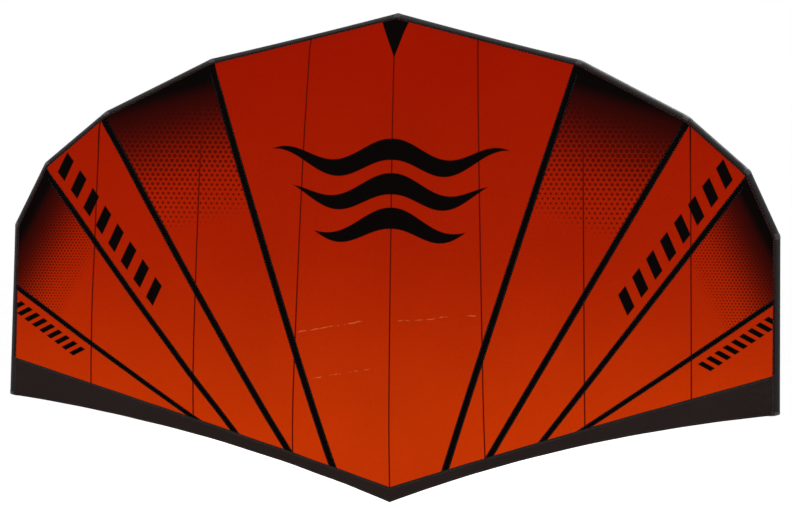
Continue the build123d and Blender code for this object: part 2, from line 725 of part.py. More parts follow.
def add_zip():
    """Zip tape with its teeth, and the slider on them."""
    middle = (ZIP_TOP + ZIP_BOTTOM) / 2
    length = ZIP_TOP - ZIP_BOTTOM
    plane = frame_on_strut(middle, length / 2, 0)
    tape = strut_skin(SKIN_GAP, SKIN_GAP + ZIP_TAPE) & (plane * Box(length, 40, 2 * ZIP_HALF_WIDTH))
    low = SKIN_GAP + ZIP_TAPE / 2
    row = Box(length - ZIP_END_MARGIN, TEETH_HEIGHT - low, 2 * TEETH_HALF_WIDTH)
    teeth = plane * Pos(0, (low + TEETH_HEIGHT) / 2, 0) * row
    save("strut_zip_tape", tape + teeth)
    slider = Box(14, 5, 10) - Pos(0, -2.5, 0) * Box(20, 3.2, 2 * TEETH_HALF_WIDTH + 1.0)
    tab = Pos(-16, 1.6, 0) * Box(22, 1.4, 6)
    where = SLIDER_PARKED - length / 2
    save("strut_zip_slider", plane * Pos(where, SLIDER_HEIGHT, 0) * (slider + tab))
    print("zip slide axis", tuple(plane.x_dir))


def describe_joints():
    """Prints where each moving part turns or slides."""
    for name, height in (("front", FRONT_HANDLE_HEIGHT), ("rear", REAR_HANDLE_HEIGHT)):
        plane = frame_on_strut(height, STRUT_HANDLE_ROOT, HANDLE_AXIS_HEIGHT)
        print(name, "handle axis", tuple(plane.origin), tuple(plane.x_dir))
    plane = valve_plane()
    hinge = plane.from_local_coords((0, -CAP_HINGE_OFFSET, CAP_HINGE_HEIGHT))
    print("valve origin", tuple(plane.origin), "out", tuple(plane.z_dir), "along", tuple(plane.x_dir))
    print("cap hinge", tuple(hinge))
    print("deflation valve", tuple(dump_plane().origin))
    print("leash ring", tuple(frame_on_strut(RING_HEIGHT, 20, 6).origin))


add_canopy()
add_leading_edge()
add_strut()
add_nose_handle()
add_strut_handles()
add_leash_ring()
add_inflation_valve()
add_deflation_valve()
add_hose()
add_zip()
describe_joints()

os.makedirs("parts", exist_ok=True)
for name, shape in parts.items():
    export_step(shape, f"parts/{name}.step")
print(len(parts), "sub-parts")
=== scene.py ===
"""Looks of a hand-held inflatable wing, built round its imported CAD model. Metres, in the CAD's own frame."""

import json
import math

import bmesh
import bpy
import numpy as np
from mathutils import Matrix, Vector
from mathutils.bvhtree import BVHTree


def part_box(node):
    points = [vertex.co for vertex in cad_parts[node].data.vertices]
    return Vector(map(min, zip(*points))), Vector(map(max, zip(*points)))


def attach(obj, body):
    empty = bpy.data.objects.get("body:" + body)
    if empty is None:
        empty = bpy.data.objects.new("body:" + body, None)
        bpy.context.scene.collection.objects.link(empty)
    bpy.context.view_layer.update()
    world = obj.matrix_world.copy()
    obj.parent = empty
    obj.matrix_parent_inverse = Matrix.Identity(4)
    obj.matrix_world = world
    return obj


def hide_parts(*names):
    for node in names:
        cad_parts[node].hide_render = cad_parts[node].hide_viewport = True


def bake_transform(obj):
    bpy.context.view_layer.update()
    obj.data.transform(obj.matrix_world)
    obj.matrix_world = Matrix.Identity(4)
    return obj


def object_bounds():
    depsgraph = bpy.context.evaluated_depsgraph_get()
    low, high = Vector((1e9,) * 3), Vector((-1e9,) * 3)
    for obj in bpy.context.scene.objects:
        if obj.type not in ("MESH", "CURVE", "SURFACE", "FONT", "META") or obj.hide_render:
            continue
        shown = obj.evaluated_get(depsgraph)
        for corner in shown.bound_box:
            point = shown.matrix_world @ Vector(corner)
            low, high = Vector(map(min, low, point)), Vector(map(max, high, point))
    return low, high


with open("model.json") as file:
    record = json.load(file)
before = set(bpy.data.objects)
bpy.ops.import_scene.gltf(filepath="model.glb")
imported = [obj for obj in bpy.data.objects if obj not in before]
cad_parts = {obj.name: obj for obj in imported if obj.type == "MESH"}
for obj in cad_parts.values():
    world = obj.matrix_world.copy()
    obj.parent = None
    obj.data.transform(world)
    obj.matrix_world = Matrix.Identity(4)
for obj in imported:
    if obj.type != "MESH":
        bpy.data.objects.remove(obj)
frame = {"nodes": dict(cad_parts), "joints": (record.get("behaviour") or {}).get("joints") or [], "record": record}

CAD_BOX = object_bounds()
RNG = np.random.default_rng(7)
MM = 0.001
# Along the span, towards the rider, and towards the nose
RIGHT, OUT, UP = np.eye(3)

# Driving values of the planform, as half span across and drop below the nose
CANOPY_INSET = 0.025
TRAILING_EDGE_MID = (0.820, 1.812)
HEM_TOP = [(-0.030, 2.036), (0.869, 1.726), (1.700, 1.459)]
DIHEDRAL = 0.14
BANDS = [
    ((0.776, 0.224), (0.238, 1.950), 0.030),
    ((1.228, 0.464), (0.433, 1.869), 0.028),
    ((1.477, 0.684), (0.654, 1.798), 0.025),
    ((1.595, 1.186), (0.857, 1.718), 0.021),
]
# Thin chordwise seams: half span at the leading edge and at the hem
SEAMS = [(0.0, 0.0), (0.350, 0.418), (0.789, 0.836), (1.224, 1.270)]
SEAM_WIDTH = 0.006
EDGE_FOLD = 0.009
NOSE_PATCH_HALF_WIDTH = 0.078
NOSE_PATCH_DEPTH = 0.203
NOSE_PATCH_OVERSHOOT = 0.010

# Driving values of the inflated tubes and the canopy's curve
TUBE_RADII = [0.100, 0.088, 0.076, 0.066, 0.055, 0.034]
TRAILING_EDGE_RADIUS = 0.022
CANOPY_GAP = 0.003
CAMBER = 0.090
CAMBER_REACH = 0.220
CLOTH = 0.0009
STRUT_HEIGHTS = [-0.060, -0.640, -1.240, -1.880]
STRUT_RADII = [0.066, 0.062, 0.052, 0.038]
STRUT_CLEARANCE = 0.0022
END_PATCH_LENGTH = 0.026
SEAM_TAPE = 0.012
PATCH = 0.0016
WEBBING_THICKNESS = 0.0022
WEBBING_WIDTH = 0.025

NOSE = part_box("leading_edge_casing_right_1")[1].z
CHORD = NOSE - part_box("trailing_edge_hem_right")[0].z


def unit(vector):
    """A vector of length one."""
    return np.asarray(vector, float) / np.linalg.norm(vector)


def smoothstep(value, low, high):
    """0 below low, 1 above high, and a smooth turn between."""
    share = np.clip((value - low) / (high - low), 0, 1)
    return share * share * (3 - 2 * share)


# ---------------------------------------------------------------- planform


def corner_points():
    """The leading edge's outer corners on the right, from the casings' boxes."""
    corners = [(0.0, 0.0)]
    for number in range(1, 5):
        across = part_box(f"leading_edge_casing_right_{number}")[1].x
        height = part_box(f"leading_edge_casing_right_{number + 1}")[1].z
        corners.append((across, NOSE - height))
    low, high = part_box("leading_edge_casing_right_5")
    corners.append((high.x, NOSE - low.z))
    return np.array(corners)


CORNERS = corner_points()


def inset(distances):
    """The leading edge's corners moved inwards, each by its own distance."""
    before = np.vstack([CORNERS[1] * (-1, 1), CORNERS])
    moved = []
    for index, distance in enumerate(distances):
        corner = CORNERS[index]
        arriving = unit(corner - before[index])
        leaving = arriving
        inward = np.array((-arriving[1], arriving[0]))
        if index < len(CORNERS) - 1:
            leaving = unit(CORNERS[index + 1] - corner)
            inward = unit(leaving - arriving)
        moved.append(corner + inward * distance / (np.linalg.norm(leaving + arriving) / 2))
    return np.array(moved)


SEAM_LINE = inset([CANOPY_INSET] * len(CORNERS))
TUBE_LINE = inset(TUBE_RADII)
TOP_HEIGHTS = np.append(NOSE - TUBE_LINE[:, 1], NOSE - CHORD)[::-1]
TOP_RADII = np.append(TUBE_RADII, TRAILING_EDGE_RADIUS)[::-1]


def circle_through(first, middle, last):
    """Centre and radius of the circle through three points."""
    first, middle, last = map(np.array, (first, middle, last))
    rows = 2 * np.array([middle - first, last - first])
    sums = [middle @ middle - first @ first, last @ last - first @ first]
    centre = np.linalg.solve(rows, sums)
    return centre, np.linalg.norm(first - centre)


def arc_drop(points):
    """A function that gives the drop of a circular arc at a half span."""
    centre, radius = circle_through(*points)
    side = 1 if points[1][1] > centre[1] else -1
    return lambda across: centre[1] + side * np.sqrt(radius**2 - (across - centre[0]) ** 2)


hem_drop = arc_drop(HEM_TOP)
rear_drop = arc_drop([(0.0, CHORD), TRAILING_EDGE_MID, tuple(SEAM_LINE[-1])])


def signed_distance(across, drop, start, end):
    """Distance from a line in the planform, positive on its outer side."""
    along = unit(np.subtract(end, start))
    return (across - start[0]) * along[1] - (drop - start[1]) * along[0]


def edge_distance(across, drop):
    """Distance in from the leading edge's outline."""
    lines = [np.abs(signed_distance(across, drop, *pair)) for pair in zip(CORNERS, CORNERS[1:])]
    return np.min(lines, axis=0)


def band_distance(across, drop, band):
    """Distance from a radial band's centre line, positive on its outer side."""
    return signed_distance(across, drop, *band[:2])


def seam_distance(across, drop, seam):
    """Distance from a thin chordwise seam."""
    return across - (seam[0] + (seam[1] - seam[0]) * drop / CHORD)


def camber_depth(across, drop):
    """How far the canopy bulges out away from its edges."""
    camber = CAMBER
    for start, end in zip(CORNERS, [*CORNERS[1:], (0.0, CHORD)]):
        distance = signed_distance(across, drop, start, end)
        camber = camber * distance**2 / (distance**2 + CAMBER_REACH**2)
    return camber


def canopy_depth(across, drop):
    """Depth of the plain canopy: wrapped over the tube at its edge and cambered behind it."""
    across = np.abs(across)
    top = np.interp(NOSE - drop, TOP_HEIGHTS, TOP_RADII)
    edge = edge_distance(across, drop)
    bulge = CANOPY_GAP + camber_depth(across, drop)
    stand = 0.8 * MM + bulge * smoothstep(edge, CANOPY_INSET, 3 * CANOPY_INSET)
    rise = np.sqrt(1 - (1 - np.clip(edge / top, 0, 1)) ** 2)
    return -DIHEDRAL * across - (top + stand) * rise


# ---------------------------------------------------------------- mesh helpers


def make_object(name, points, faces, materials, slots=None, smooth=True):
    """A mesh object in the CAD's own frame."""
    mesh = bpy.data.meshes.new(name)
    mesh.from_pydata([tuple(point) for point in points], [], faces)
    for material in materials:
        mesh.materials.append(material)
    if slots is not None:
        mesh.polygons.foreach_set("material_index", slots)
    mesh.polygons.foreach_set("use_smooth", [smooth] * len(mesh.polygons))
    piece = bpy.data.objects.new(name, mesh)
    bpy.context.scene.collection.objects.link(piece)
    return piece


def face_outwards(piece):
    """Turns a closed mesh's normals outwards."""
    work = bmesh.new()
    work.from_mesh(piece.data)
    bmesh.ops.recalc_face_normals(work, faces=work.faces)
    work.to_mesh(piece.data)
    work.free()
    return piece


def grid_faces(rows, columns, wrap_rows=False, wrap_columns=False, start=0):
    """Quads of a grid of points kept row by row."""
    faces = []
    for row in range(rows if wrap_rows else rows - 1):
        for column in range(columns if wrap_columns else columns - 1):
            below, right = (row + 1) % rows, (column + 1) % columns
            corners = (row, column), (row, right), (below, right), (below, column)
            faces.append([start + line * columns + place for line, place in corners])
    return faces


def end_caps(columns, total):
    """The two end faces of a closed grid whose rows wrap round."""
    return [list(range(columns)), [total - 1 - corner for corner in range(columns)]]


def closed_strip(rows):
    """Points and faces of a solid strip whose sections are closed rows of points."""
    points = np.vstack(rows)
    faces = grid_faces(len(rows), len(rows[0]), wrap_columns=True)
    return points, faces + end_caps(len(rows[0]), len(points))


class Heap:
    """Points and faces of one piece that is made of many closed bits."""

    def __init__(self):
        self.points = []
        self.faces = []
        self.slots = []

    def add(self, points, faces, slot=0):
        """Adds one bit."""
        first = len(self.points)
        self.points.extend(points)
        self.faces.extend([[first + corner for corner in face] for face in faces])
        self.slots.extend([slot] * len(faces))

    def object(self, name, materials):
        """Makes the piece."""
        return face_outwards(make_object(name, self.points, self.faces, materials, self.slots))


def smooth_path(corners, rounds=4):
    """A control polygon with its corners cut, again and again, into a smooth line."""
    line = np.array(corners, float)
    for _ in range(rounds):
        near = line[:-1] * 0.75 + line[1:] * 0.25
        far = line[:-1] * 0.25 + line[1:] * 0.75
        middle = np.stack([near, far], axis=1).reshape(-1, line.shape[1])
        line = np.vstack([line[:1], middle[1:-1], line[-1:]])
    return line


def resample(line, spacing, closed):
    """Points at an even spacing along a line, and the directions there."""
    line = np.vstack([line, line[:1]]) if closed else line
    steps = np.linalg.norm(np.diff(line, axis=0), axis=1)
    places = np.concatenate([[0], np.cumsum(steps)])
    count = max(2, round(places[-1] / spacing))
    wanted = (np.arange(count) + 0.5) * places[-1] / count
    back, points, ahead = (
        np.stack([np.interp(wanted + shift * spacing, places, line[:, axis]) for axis in range(3)], axis=1)
        for shift in (-0.2, 0, 0.2)
    )
    directions = ahead - back
    return points, directions / np.maximum(np.linalg.norm(directions, axis=1, keepdims=True), 1e-9)


STITCH_FACES = [(0, 2, 4), (0, 4, 3), (0, 3, 5), (0, 5, 2), (1, 4, 2), (1, 3, 4), (1, 5, 3), (1, 2, 5)]


def add_stitches(heap, line, outward, spacing=0.006, radius=0.0006, closed=False):
    """A row of thread stitches along a line that lies on a surface."""
    points, directions = resample(np.asarray(line), spacing, closed)
    outward = np.broadcast_to(outward, (len(line), 3))
    for point, along in zip(points, directions):
        nearest = np.argmin(np.sum((np.asarray(line) - point) ** 2, axis=1))
        up = outward[nearest] * radius
        side = np.cross(along, outward[nearest]) * radius
        half = along * spacing * 0.36
        heap.add([point - half, point + half, point + up, point - up, point + side, point - side],
                 STITCH_FACES)


RIBS = 12


def add_ribbon(heap, line, across, width=WEBBING_WIDTH, thickness=WEBBING_THICKNESS):
    """A flat band with woven ribs along it and rounded edges."""
    line = np.asarray(line, float)
    tangents = np.gradient(line, axis=0)
    tangents /= np.linalg.norm(tangents, axis=1, keepdims=True)
    across = np.broadcast_to(across, line.shape)
    normals = np.cross(tangents, across)
    normals /= np.linalg.norm(normals, axis=1, keepdims=True)
    places = np.linspace(-1, 1, 2 * RIBS + 1)
    ribs = 0.5 + 0.09 * np.where(np.arange(len(places)) % 2, 1, -1)
    ribs[[0, -1]] = 0.2
    ribs[[1, -2]] = 0.42
    section = [(place, height) for place, height in zip(places, ribs)]
    section += [(place, -height) for place, height in section[::-1]]
    points = []
    for point, sideways, normal in zip(line, across, normals):
        for place, height in section:
            points.append(point + sideways * place * width / 2 + normal * height * thickness)
    faces = grid_faces(len(line), len(section), wrap_columns=True)
    heap.add(points, faces + end_caps(len(section), len(points)))


def add_lathe(heap, origin, axis, profile, sides, relief=None, slot=0):
    """A solid turned about an axis from a profile of (place along it, radius), with optional relief."""
    axis = unit(axis)
    first = unit(np.cross(axis, (0.0, 0.31, 0.95) if abs(axis[0]) > 0.5 else (1.0, 0.0, 0.0)))
    second = np.cross(axis, first)
    points = []
    for place, radius in profile:
        for side in range(sides):
            angle = 2 * math.pi * side / sides
            reach = radius + (relief(place, angle) if relief else 0)
            outward = first * math.cos(angle) + second * math.sin(angle)
            points.append(origin + axis * place + reach * outward)
    faces = grid_faces(len(profile), sides, wrap_columns=True)
    heap.add(points, faces + end_caps(sides, len(points)), slot)


class Surface:
    """A surface that patches and tapes are laid on."""

    def __init__(self, piece):
        mesh = piece.data
        corners = [vert.co for vert in mesh.vertices]
        self.tree = BVHTree.FromPolygons(corners, [list(face.vertices) for face in mesh.polygons])

    def lay(self, points, outward, lift):
        """Points dropped onto the surface against the outward direction and lifted off it."""
        laid = []
        lifts = np.broadcast_to(lift, len(points))
        for point, height in zip(points, lifts):
            start = Vector(point) + Vector(outward) * 0.05
            place, normal, _, _ = self.tree.ray_cast(start, -Vector(outward), 0.2)
            if place is None:
                place, normal, _, _ = self.tree.find_nearest(Vector(point))
            normal = normal if normal.dot(Vector(outward)) > 0 else -normal
            laid.append(np.array(place + normal * height))
        return np.array(laid)


def add_patch(heap, threads, surface, centre, outward, along, half_long, half_wide, hole=0.0, power=5.0):
    """A closed cloth patch that follows a surface, with two rows of stitches round its edge."""
    outward = unit(outward)
    along = unit(np.asarray(along) - outward * np.dot(along, outward))
    aside = np.cross(outward, along)
    angles = 2 * math.pi * np.arange(64) / 64
    reach = (np.abs(np.cos(angles)) ** power + np.abs(np.sin(angles)) ** power) ** (-1 / power)
    outline = np.outer(np.cos(angles) * reach * half_long, along)
    outline += np.outer(np.sin(angles) * reach * half_wide, aside)
    inner = max(hole, 0.02)
    shares = np.linspace(inner, 0.97, 9)
    rings = [(share, PATCH) for share in shares] + [(0.992, 0.8 * PATCH), (1.0, 0.3 * PATCH)]
    rings += [(share, 0.1 * PATCH) for share in np.append(1.0, shares[::-1])]
    points = [surface.lay(centre + outline * share, outward, lift) for share, lift in rings]
    faces = grid_faces(len(rings), len(angles), wrap_rows=hole > 0, wrap_columns=True)
    points = np.vstack(points)
    if not hole:
        faces += end_caps(len(angles), len(points))
    heap.add(points, faces)
    for margin in (0.0035, 0.0065):
        share = 1 - margin / min(half_long, half_wide)
        line = surface.lay(centre + outline * share, outward, PATCH + 0.2 * MM)
        add_stitches(threads, line, outward, closed=True)


# ---------------------------------------------------------------- materials


def srgb(red, green, blue):
    """A display colour, 0 to 255, as the linear colour that a shader takes."""
    values = [value / 255 for value in (red, green, blue)]
    return [v / 12.92 if v <= 0.04045 else ((v + 0.055) / 1.055) ** 2.4 for v in values] + [1.0]


# Painted shade: the orange darkens towards the nose and lightens towards the trailing edge, standing in for light
# falling on the curved canopy
ORANGE_SHADED_TOP = srgb(138, 18, 1)
ORANGE_MIDDLE = srgb(148, 26, 2)
ORANGE_LIT_LOW = srgb(176, 47, 3)
INK = srgb(8, 5, 5)
# Painted shade: a dark maroon strip where the orange cloth folds over the tube at the front edge
FOLD_SHADE_MAROON = srgb(30, 9, 8)
DOT_MAROON = srgb(44, 6, 4)
HEM_GREY = srgb(34, 27, 25)
TUBE_BLACK = srgb(20, 19, 20)
TAPE_GREY = srgb(48, 46, 48)
PATCH_GREY = srgb(58, 57, 60)
THREAD_GREY = srgb(120, 118, 116)
SCUFF = srgb(186, 96, 52)
SEAM_RED = srgb(82, 12, 5)
CANOPY_SHINE = 0.03
CANOPY_IOR = 1.1
INNER_FADE = (-0.31, 0.06, 0.70, 0.0228)
OUTER_FADE = (-1.90, -2.00, -1.27, 0.0138)
WAVE_DROPS = (0.63, 0.775, 0.92)


class Shade:
    """One material's node tree, built by short calls."""

    def __init__(self, name, roughness, **sockets):
        self.material = bpy.data.materials.new(name)
        self.material.use_nodes = True
        self.tree = self.material.node_tree
        self.shader = self.tree.nodes["Principled BSDF"]
        self.shader.inputs["Roughness"].default_value = roughness
        for socket, value in sockets.items():
            self.shader.inputs[socket.replace("_", " ")].default_value = value
        self.place = self.node("ShaderNodeTexCoord").outputs["Object"]
        self.x, self.y, self.z = self.node("ShaderNodeSeparateXYZ", self.place).outputs
        self.across = self.math("ABSOLUTE", self.x)
        self.drop = self.math("SUBTRACT", NOSE, self.z)

    def node(self, kind, *values, **settings):
        """Adds a node, with its settings, and feeds its inputs in order."""
        made = self.tree.nodes.new(kind)
        for key, value in settings.items():
            setattr(made, key, value)
        for socket, value in zip(made.inputs, values):
            self.feed(socket, value)
        return made

    def feed(self, socket, value):
        """Links a socket, or sets its value. None leaves it as it is."""
        if isinstance(value, bpy.types.NodeSocket):
            self.tree.links.new(value, socket)
        elif value is not None:
            socket.default_value = value

    def math(self, operation, *values):
        """One step of arithmetic."""
        return self.node("ShaderNodeMath", *values, operation=operation).outputs[0]

    def total(self, *values):
        """A sum."""
        result = values[0]
        for value in values[1:]:
            result = self.math("ADD", result, value)
        return result

    def product(self, *values):
        """A product."""
        result = values[0]
        for value in values[1:]:
            result = self.math("MULTIPLY", result, value)
        return result

    def ramp(self, value, limits, results, **settings):
        """A value's place between two limits, as a place between two results."""
        made = self.node("ShaderNodeMapRange", value, **settings)
        for socket, number in zip(("From Min", "From Max", "To Min", "To Max"), (*limits, *results)):
            made.inputs[socket].default_value = number
        return made.outputs[0]

    def step(self, value, low, high):
        """0 at low, 1 at high, and a smooth turn between."""
        results = (0.0, 1.0) if low < high else (1.0, 0.0)
        return self.ramp(value, sorted((low, high)), results, interpolation_type="SMOOTHSTEP")

    def within(self, value, low, high, soft):
        """1 between two values and 0 outside them."""
        above = self.step(value, low - soft, low + soft)
        return self.product(above, self.step(value, high + soft, high - soft))

    def noise(self, scale, detail=3.0, stretch=None):
        """Fractal noise from 0 to 1, optionally stretched along the axes."""
        vector = self.place
        if stretch is not None:
            vector = self.node("ShaderNodeVectorMath", vector, stretch, operation="MULTIPLY").outputs[0]
        made = self.node("ShaderNodeTexNoise")
        self.feed(made.inputs["Vector"], vector)
        made.inputs["Scale"].default_value = scale
        made.inputs["Detail"].default_value = detail
        return made.outputs["Fac"]

    def mix(self, share, first, second):
        """A blend of two colours."""
        made = self.node("ShaderNodeMix", data_type="RGBA")
        self.feed(made.inputs[0], share)
        self.feed(made.inputs[6], first)
        self.feed(made.inputs[7], second)
        return made.outputs[2]

    def shift(self, colour, amount, low, high):
        """A colour made darker and lighter by a pattern from 0 to 1."""
        plain = colour[:3] if isinstance(colour, list) else colour
        made = self.node("ShaderNodeVectorMath", plain, operation="SCALE")
        self.feed(made.inputs["Scale"], self.ramp(amount, (0, 1), (low, high)))
        return made.outputs[0]

    def wave(self, value, pitch):
        """A sine of that pitch."""
        return self.math("SINE", self.math("MULTIPLY", value, 2 * math.pi / pitch))

    def weave(self, pitch):
        """The height of a plain weave, on a face turned any way."""
        threads = [self.wave(value, pitch) for value in (self.x, self.y, self.z)]
        return self.total(*threads)

    def colour(self, value):
        """Sets the base colour."""
        self.feed(self.shader.inputs["Base Color"], value)

    def roughness(self, pattern, low, high):
        """Roughness that follows a pattern from 0 to 1."""
        self.feed(self.shader.inputs["Roughness"], self.ramp(pattern, (0, 1), (low, high)))

    def bump(self, height, distance, strength):
        """Small relief on top of any that is already there."""
        made = self.node("ShaderNodeBump")
        made.inputs["Strength"].default_value = strength
        made.inputs["Distance"].default_value = distance
        self.feed(made.inputs["Height"], height)
        before = self.shader.inputs["Normal"]
        if before.is_linked:
            self.feed(made.inputs["Normal"], before.links[0].from_socket)
        self.feed(before, made.outputs["Normal"])


RIPSTOP_PITCH = 0.006


def ripstop(shade):
    """The square grid of thicker threads in ripstop cloth, as a pattern from 0 to 1."""
    lines = []
    for value in (shade.across, shade.z):
        fold = shade.math("PINGPONG", value, RIPSTOP_PITCH / 2)
        lines.append(shade.step(fold, 0.6 * MM, 0.2 * MM))
    return shade.math("MAXIMUM", *lines)


def orange_cloth(shade):
    """The canopy's orange cloth with painted shade: darker near the leading edge and lighter towards the trailing
    edge, as light falls on the curved sheet, and a little mottled.
    """
    # Painted shade: darker near the leading edge, lighter towards the trailing edge
    upper = shade.mix(shade.step(shade.drop, 0.1, 1.1), ORANGE_SHADED_TOP, ORANGE_MIDDLE)
    cloth = shade.mix(shade.step(shade.drop, 0.9, 1.9), upper, ORANGE_LIT_LOW)
    cloth = shade.shift(cloth, shade.noise(2.2, 4.0, (1, 1, 0.7)), 0.88, 1.12)
    cloth = shade.shift(cloth, shade.noise(170.0, 2.0), 0.86, 1.14)
    return shade.shift(cloth, ripstop(shade), 1.0, 0.93)


def finish_cloth(shade, colour):
    """Weave, ripstop and a slight sheen for light canopy cloth."""
    shade.colour(colour)
    shade.roughness(shade.noise(9.0), 0.46, 0.62)
    shade.bump(ripstop(shade), 0.10 * MM, 0.35)
    shade.bump(shade.noise(14.0, 2.0, (1.0, 1.0, 0.5)), 1.6 * MM, 0.35)
    return shade.material


def three_waves(shade):
    """A plain mark of three bold waves that thin out to their ends."""
    masks = []
    for number, drop in enumerate(WAVE_DROPS):
        line = shade.product(shade.wave(shade.math("ADD", shade.across, 0.11), 0.46), 0.040)
        offset = shade.math("ABSOLUTE", shade.total(shade.drop, -drop, line))
        share = shade.math("DIVIDE", shade.across, 0.50 - 0.09 * number)
        width = shade.product(shade.math("SUBTRACT", 1.0, shade.math("POWER", share, 2.0)), 0.045)
        masks.append(shade.step(shade.math("SUBTRACT", offset, width), 0.002, -0.002))
    return shade.math("MAXIMUM", shade.math("MAXIMUM", masks[0], masks[1]), masks[2])


def along_line(shade, sideways, start, end):
    """Place along a line drawn on the sheet, and distance from it on its outer side."""
    along = unit(np.subtract(end, start))
    right = shade.math("SUBTRACT", sideways, start[0])
    down = shade.math("SUBTRACT", shade.drop, start[1])
    place = shade.total(shade.product(right, along[0]), shade.product(down, along[1]))
    offset = shade.total(shade.product(right, along[1]), shade.product(down, -along[0]))
    return place, offset


def slanted_bars(shade, band, reach, offsets, pitch, duty, slant):
    """A row of plain slanted bars beside a band."""
    place, offset = along_line(shade, shade.across, band[0], band[1])
    run = shade.total(place, shade.product(offset, slant))
    inside = shade.math("FRACT", shade.math("DIVIDE", shade.math("SUBTRACT", run, reach[0]), pitch))
    bars = shade.within(inside, 0.08, 0.08 + duty, 0.02)
    return shade.product(bars, shade.within(run, *reach, 0.001), shade.within(offset, *offsets, 0.002))


def scuffs(shade):
    """Pale creases where the cloth was folded: broken thin lines across the middle."""
    masks = []
    for start, end in (((-0.385, 1.368), (-0.090, 1.310)), ((-0.315, 1.560), (-0.085, 1.520)),
                       ((0.035, 1.312), (0.255, 1.290)), ((0.335, 1.280), (0.385, 1.279)),
                       ((0.620, 1.296), (0.660, 1.293))):
        place, offset = along_line(shade, shade.x, start, end)
        length = float(np.linalg.norm(np.subtract(end, start)))
        wander = shade.math("MULTIPLY", shade.math("SUBTRACT", shade.noise(16.0, 2.0), 0.5), 0.020)
        near = shade.step(shade.math("ABSOLUTE", shade.math("ADD", offset, wander)), 0.0032, 0.0008)
        masks.append(shade.product(near, shade.within(place, 0.0, length, 0.012)))
    worn = masks[0]
    for mask in masks[1:]:
        worn = shade.math("MAXIMUM", worn, mask)
    return shade.product(worn, shade.step(shade.noise(38.0, 3.0), 0.42, 0.60))


def printed_marks(shade):
    """The plain marks that are printed on the orange cloth, as one mask."""
    inner = slanted_bars(shade, BANDS[2], (0.075, 0.790), (-0.124, -0.042), 0.0925, 0.52, -0.55)
    outer = slanted_bars(shade, BANDS[3], (0.045, 0.430), (0.036, 0.088), 0.040, 0.56, 0.50)
    return shade.math("MAXIMUM", shade.math("MAXIMUM", inner, outer), three_waves(shade))


def plain_panel():
    """Orange cloth with the plain printed marks and the worn creases."""
    shade = Shade("canopy_orange", 0.55, Specular_IOR_Level=CANOPY_SHINE, IOR=CANOPY_IOR)
    cloth = shade.mix(shade.product(scuffs(shade), 0.7), orange_cloth(shade), SCUFF)
    return finish_cloth(shade, shade.mix(printed_marks(shade), cloth, INK))


def seam_material():
    """The folded seams between cloths: dark red, and black where print crosses them."""
    shade = Shade("canopy_seam", 0.6, Specular_IOR_Level=CANOPY_SHINE, IOR=CANOPY_IOR)
    faded = shade.step(fade_run(shade, *INNER_FADE[:1]), INNER_FADE[1] + 0.25, INNER_FADE[1])
    red = shade.shift(SEAM_RED, shade.noise(60.0), 0.8, 1.2)
    outer = shade.step(shade.across, 0.6, 0.7)
    mask = shade.math("MAXIMUM", printed_marks(shade), shade.product(faded, outer))
    return finish_cloth(shade, shade.mix(mask, red, INK))


def fade_run(shade, slope):
    """The direction in which a dotted print fades."""
    return shade.total(shade.drop, shade.product(shade.across, slope))


def dots(shade, pitch):
    """Distance to the nearest place of a triangular lattice."""
    near = []
    for shift in (0.0, 0.5):
        squares = []
        for value, size in ((shade.across, pitch), (shade.drop, pitch * math.sqrt(3))):
            cell = shade.math("FRACT", shade.total(shade.math("DIVIDE", value, size), shift))
            squares.append(shade.math("POWER", shade.product(shade.math("SUBTRACT", cell, 0.5), size), 2.0))
        near.append(shade.math("SQRT", shade.total(*squares)))
    return shade.math("MINIMUM", *near)


def faded_panel(name, slope, full, clear, pitch):
    """Cloth printed from black at the leading edge to plain orange, through a pattern of dots.

    The print fades with drop + slope * half span, from full to clear, and its dots shrink on the way.
    """
    shade = Shade(name, 0.55, Specular_IOR_Level=CANOPY_SHINE, IOR=CANOPY_IOR)
    cloth = orange_cloth(shade)
    fade = shade.ramp(fade_run(shade, slope), (full, clear), (0, 1))
    ground = shade.mix(shade.step(fade, 0.0, 0.74), INK, cloth)
    size = shade.ramp(fade, (0, 1), (0.52 * pitch, 0.16 * pitch))
    edge = shade.math("SUBTRACT", dots(shade, pitch), size)
    dot = shade.step(edge, 0.07 * pitch, -0.07 * pitch)
    shown = shade.product(dot, shade.within(fade, 0.08, 0.92, 0.08))
    return finish_cloth(shade, shade.mix(shade.product(shown, 0.72), ground, DOT_MAROON))


def dark_cloth(name, colour, roughness=0.6, fine=0.0012, variation=0.2, lines=0.25, shine=0.3, ior=1.35):
    """Woven polyester in one dark colour, with its weave and slight wear."""
    shade = Shade(name, roughness, Specular_IOR_Level=shine, IOR=ior)
    tone = shade.shift(colour, shade.noise(5.0, 4.0), 1 - variation, 1 + variation)
    tone = shade.shift(tone, shade.noise(240.0, 2.0), 0.85, 1.15)
    tone = shade.shift(tone, shade.step(shade.weave(fine), -2.0, 2.0), 0.88, 1.12)
    shade.colour(tone)
    shade.roughness(shade.noise(22.0), roughness - 0.1, roughness + 0.1)
    shade.bump(shade.weave(fine), 0.05 * MM, lines)
    shade.bump(shade.noise(24.0, 3.0), 0.8 * MM, 0.3)
    return shade.material


def moulded(name, colour, roughness, variation=0.12, **sockets):
    """Moulded plastic or rubber with a fine grain and handling marks."""
    shade = Shade(name, roughness, **sockets)
    shade.colour(shade.shift(colour, shade.noise(60.0, 4.0), 1 - variation, 1 + variation))
    shade.roughness(shade.noise(130.0, 3.0), roughness - 0.09, roughness + 0.09)
    shade.bump(shade.noise(900.0, 2.0), 0.05 * MM, 0.3)
    return shade.material


def brushed_metal():
    """Satin stainless steel with fine scratches along it."""
    shade = Shade("stainless_steel", 0.3, Metallic=1.0)
    scratches = shade.noise(160.0, 4.0, (1.0, 6.0, 6.0))
    shade.colour(shade.shift(srgb(168, 169, 172), scratches, 0.9, 1.08))
    shade.roughness(scratches, 0.2, 0.42)
    shade.bump(scratches, 0.03 * MM, 0.25)
    return shade.material


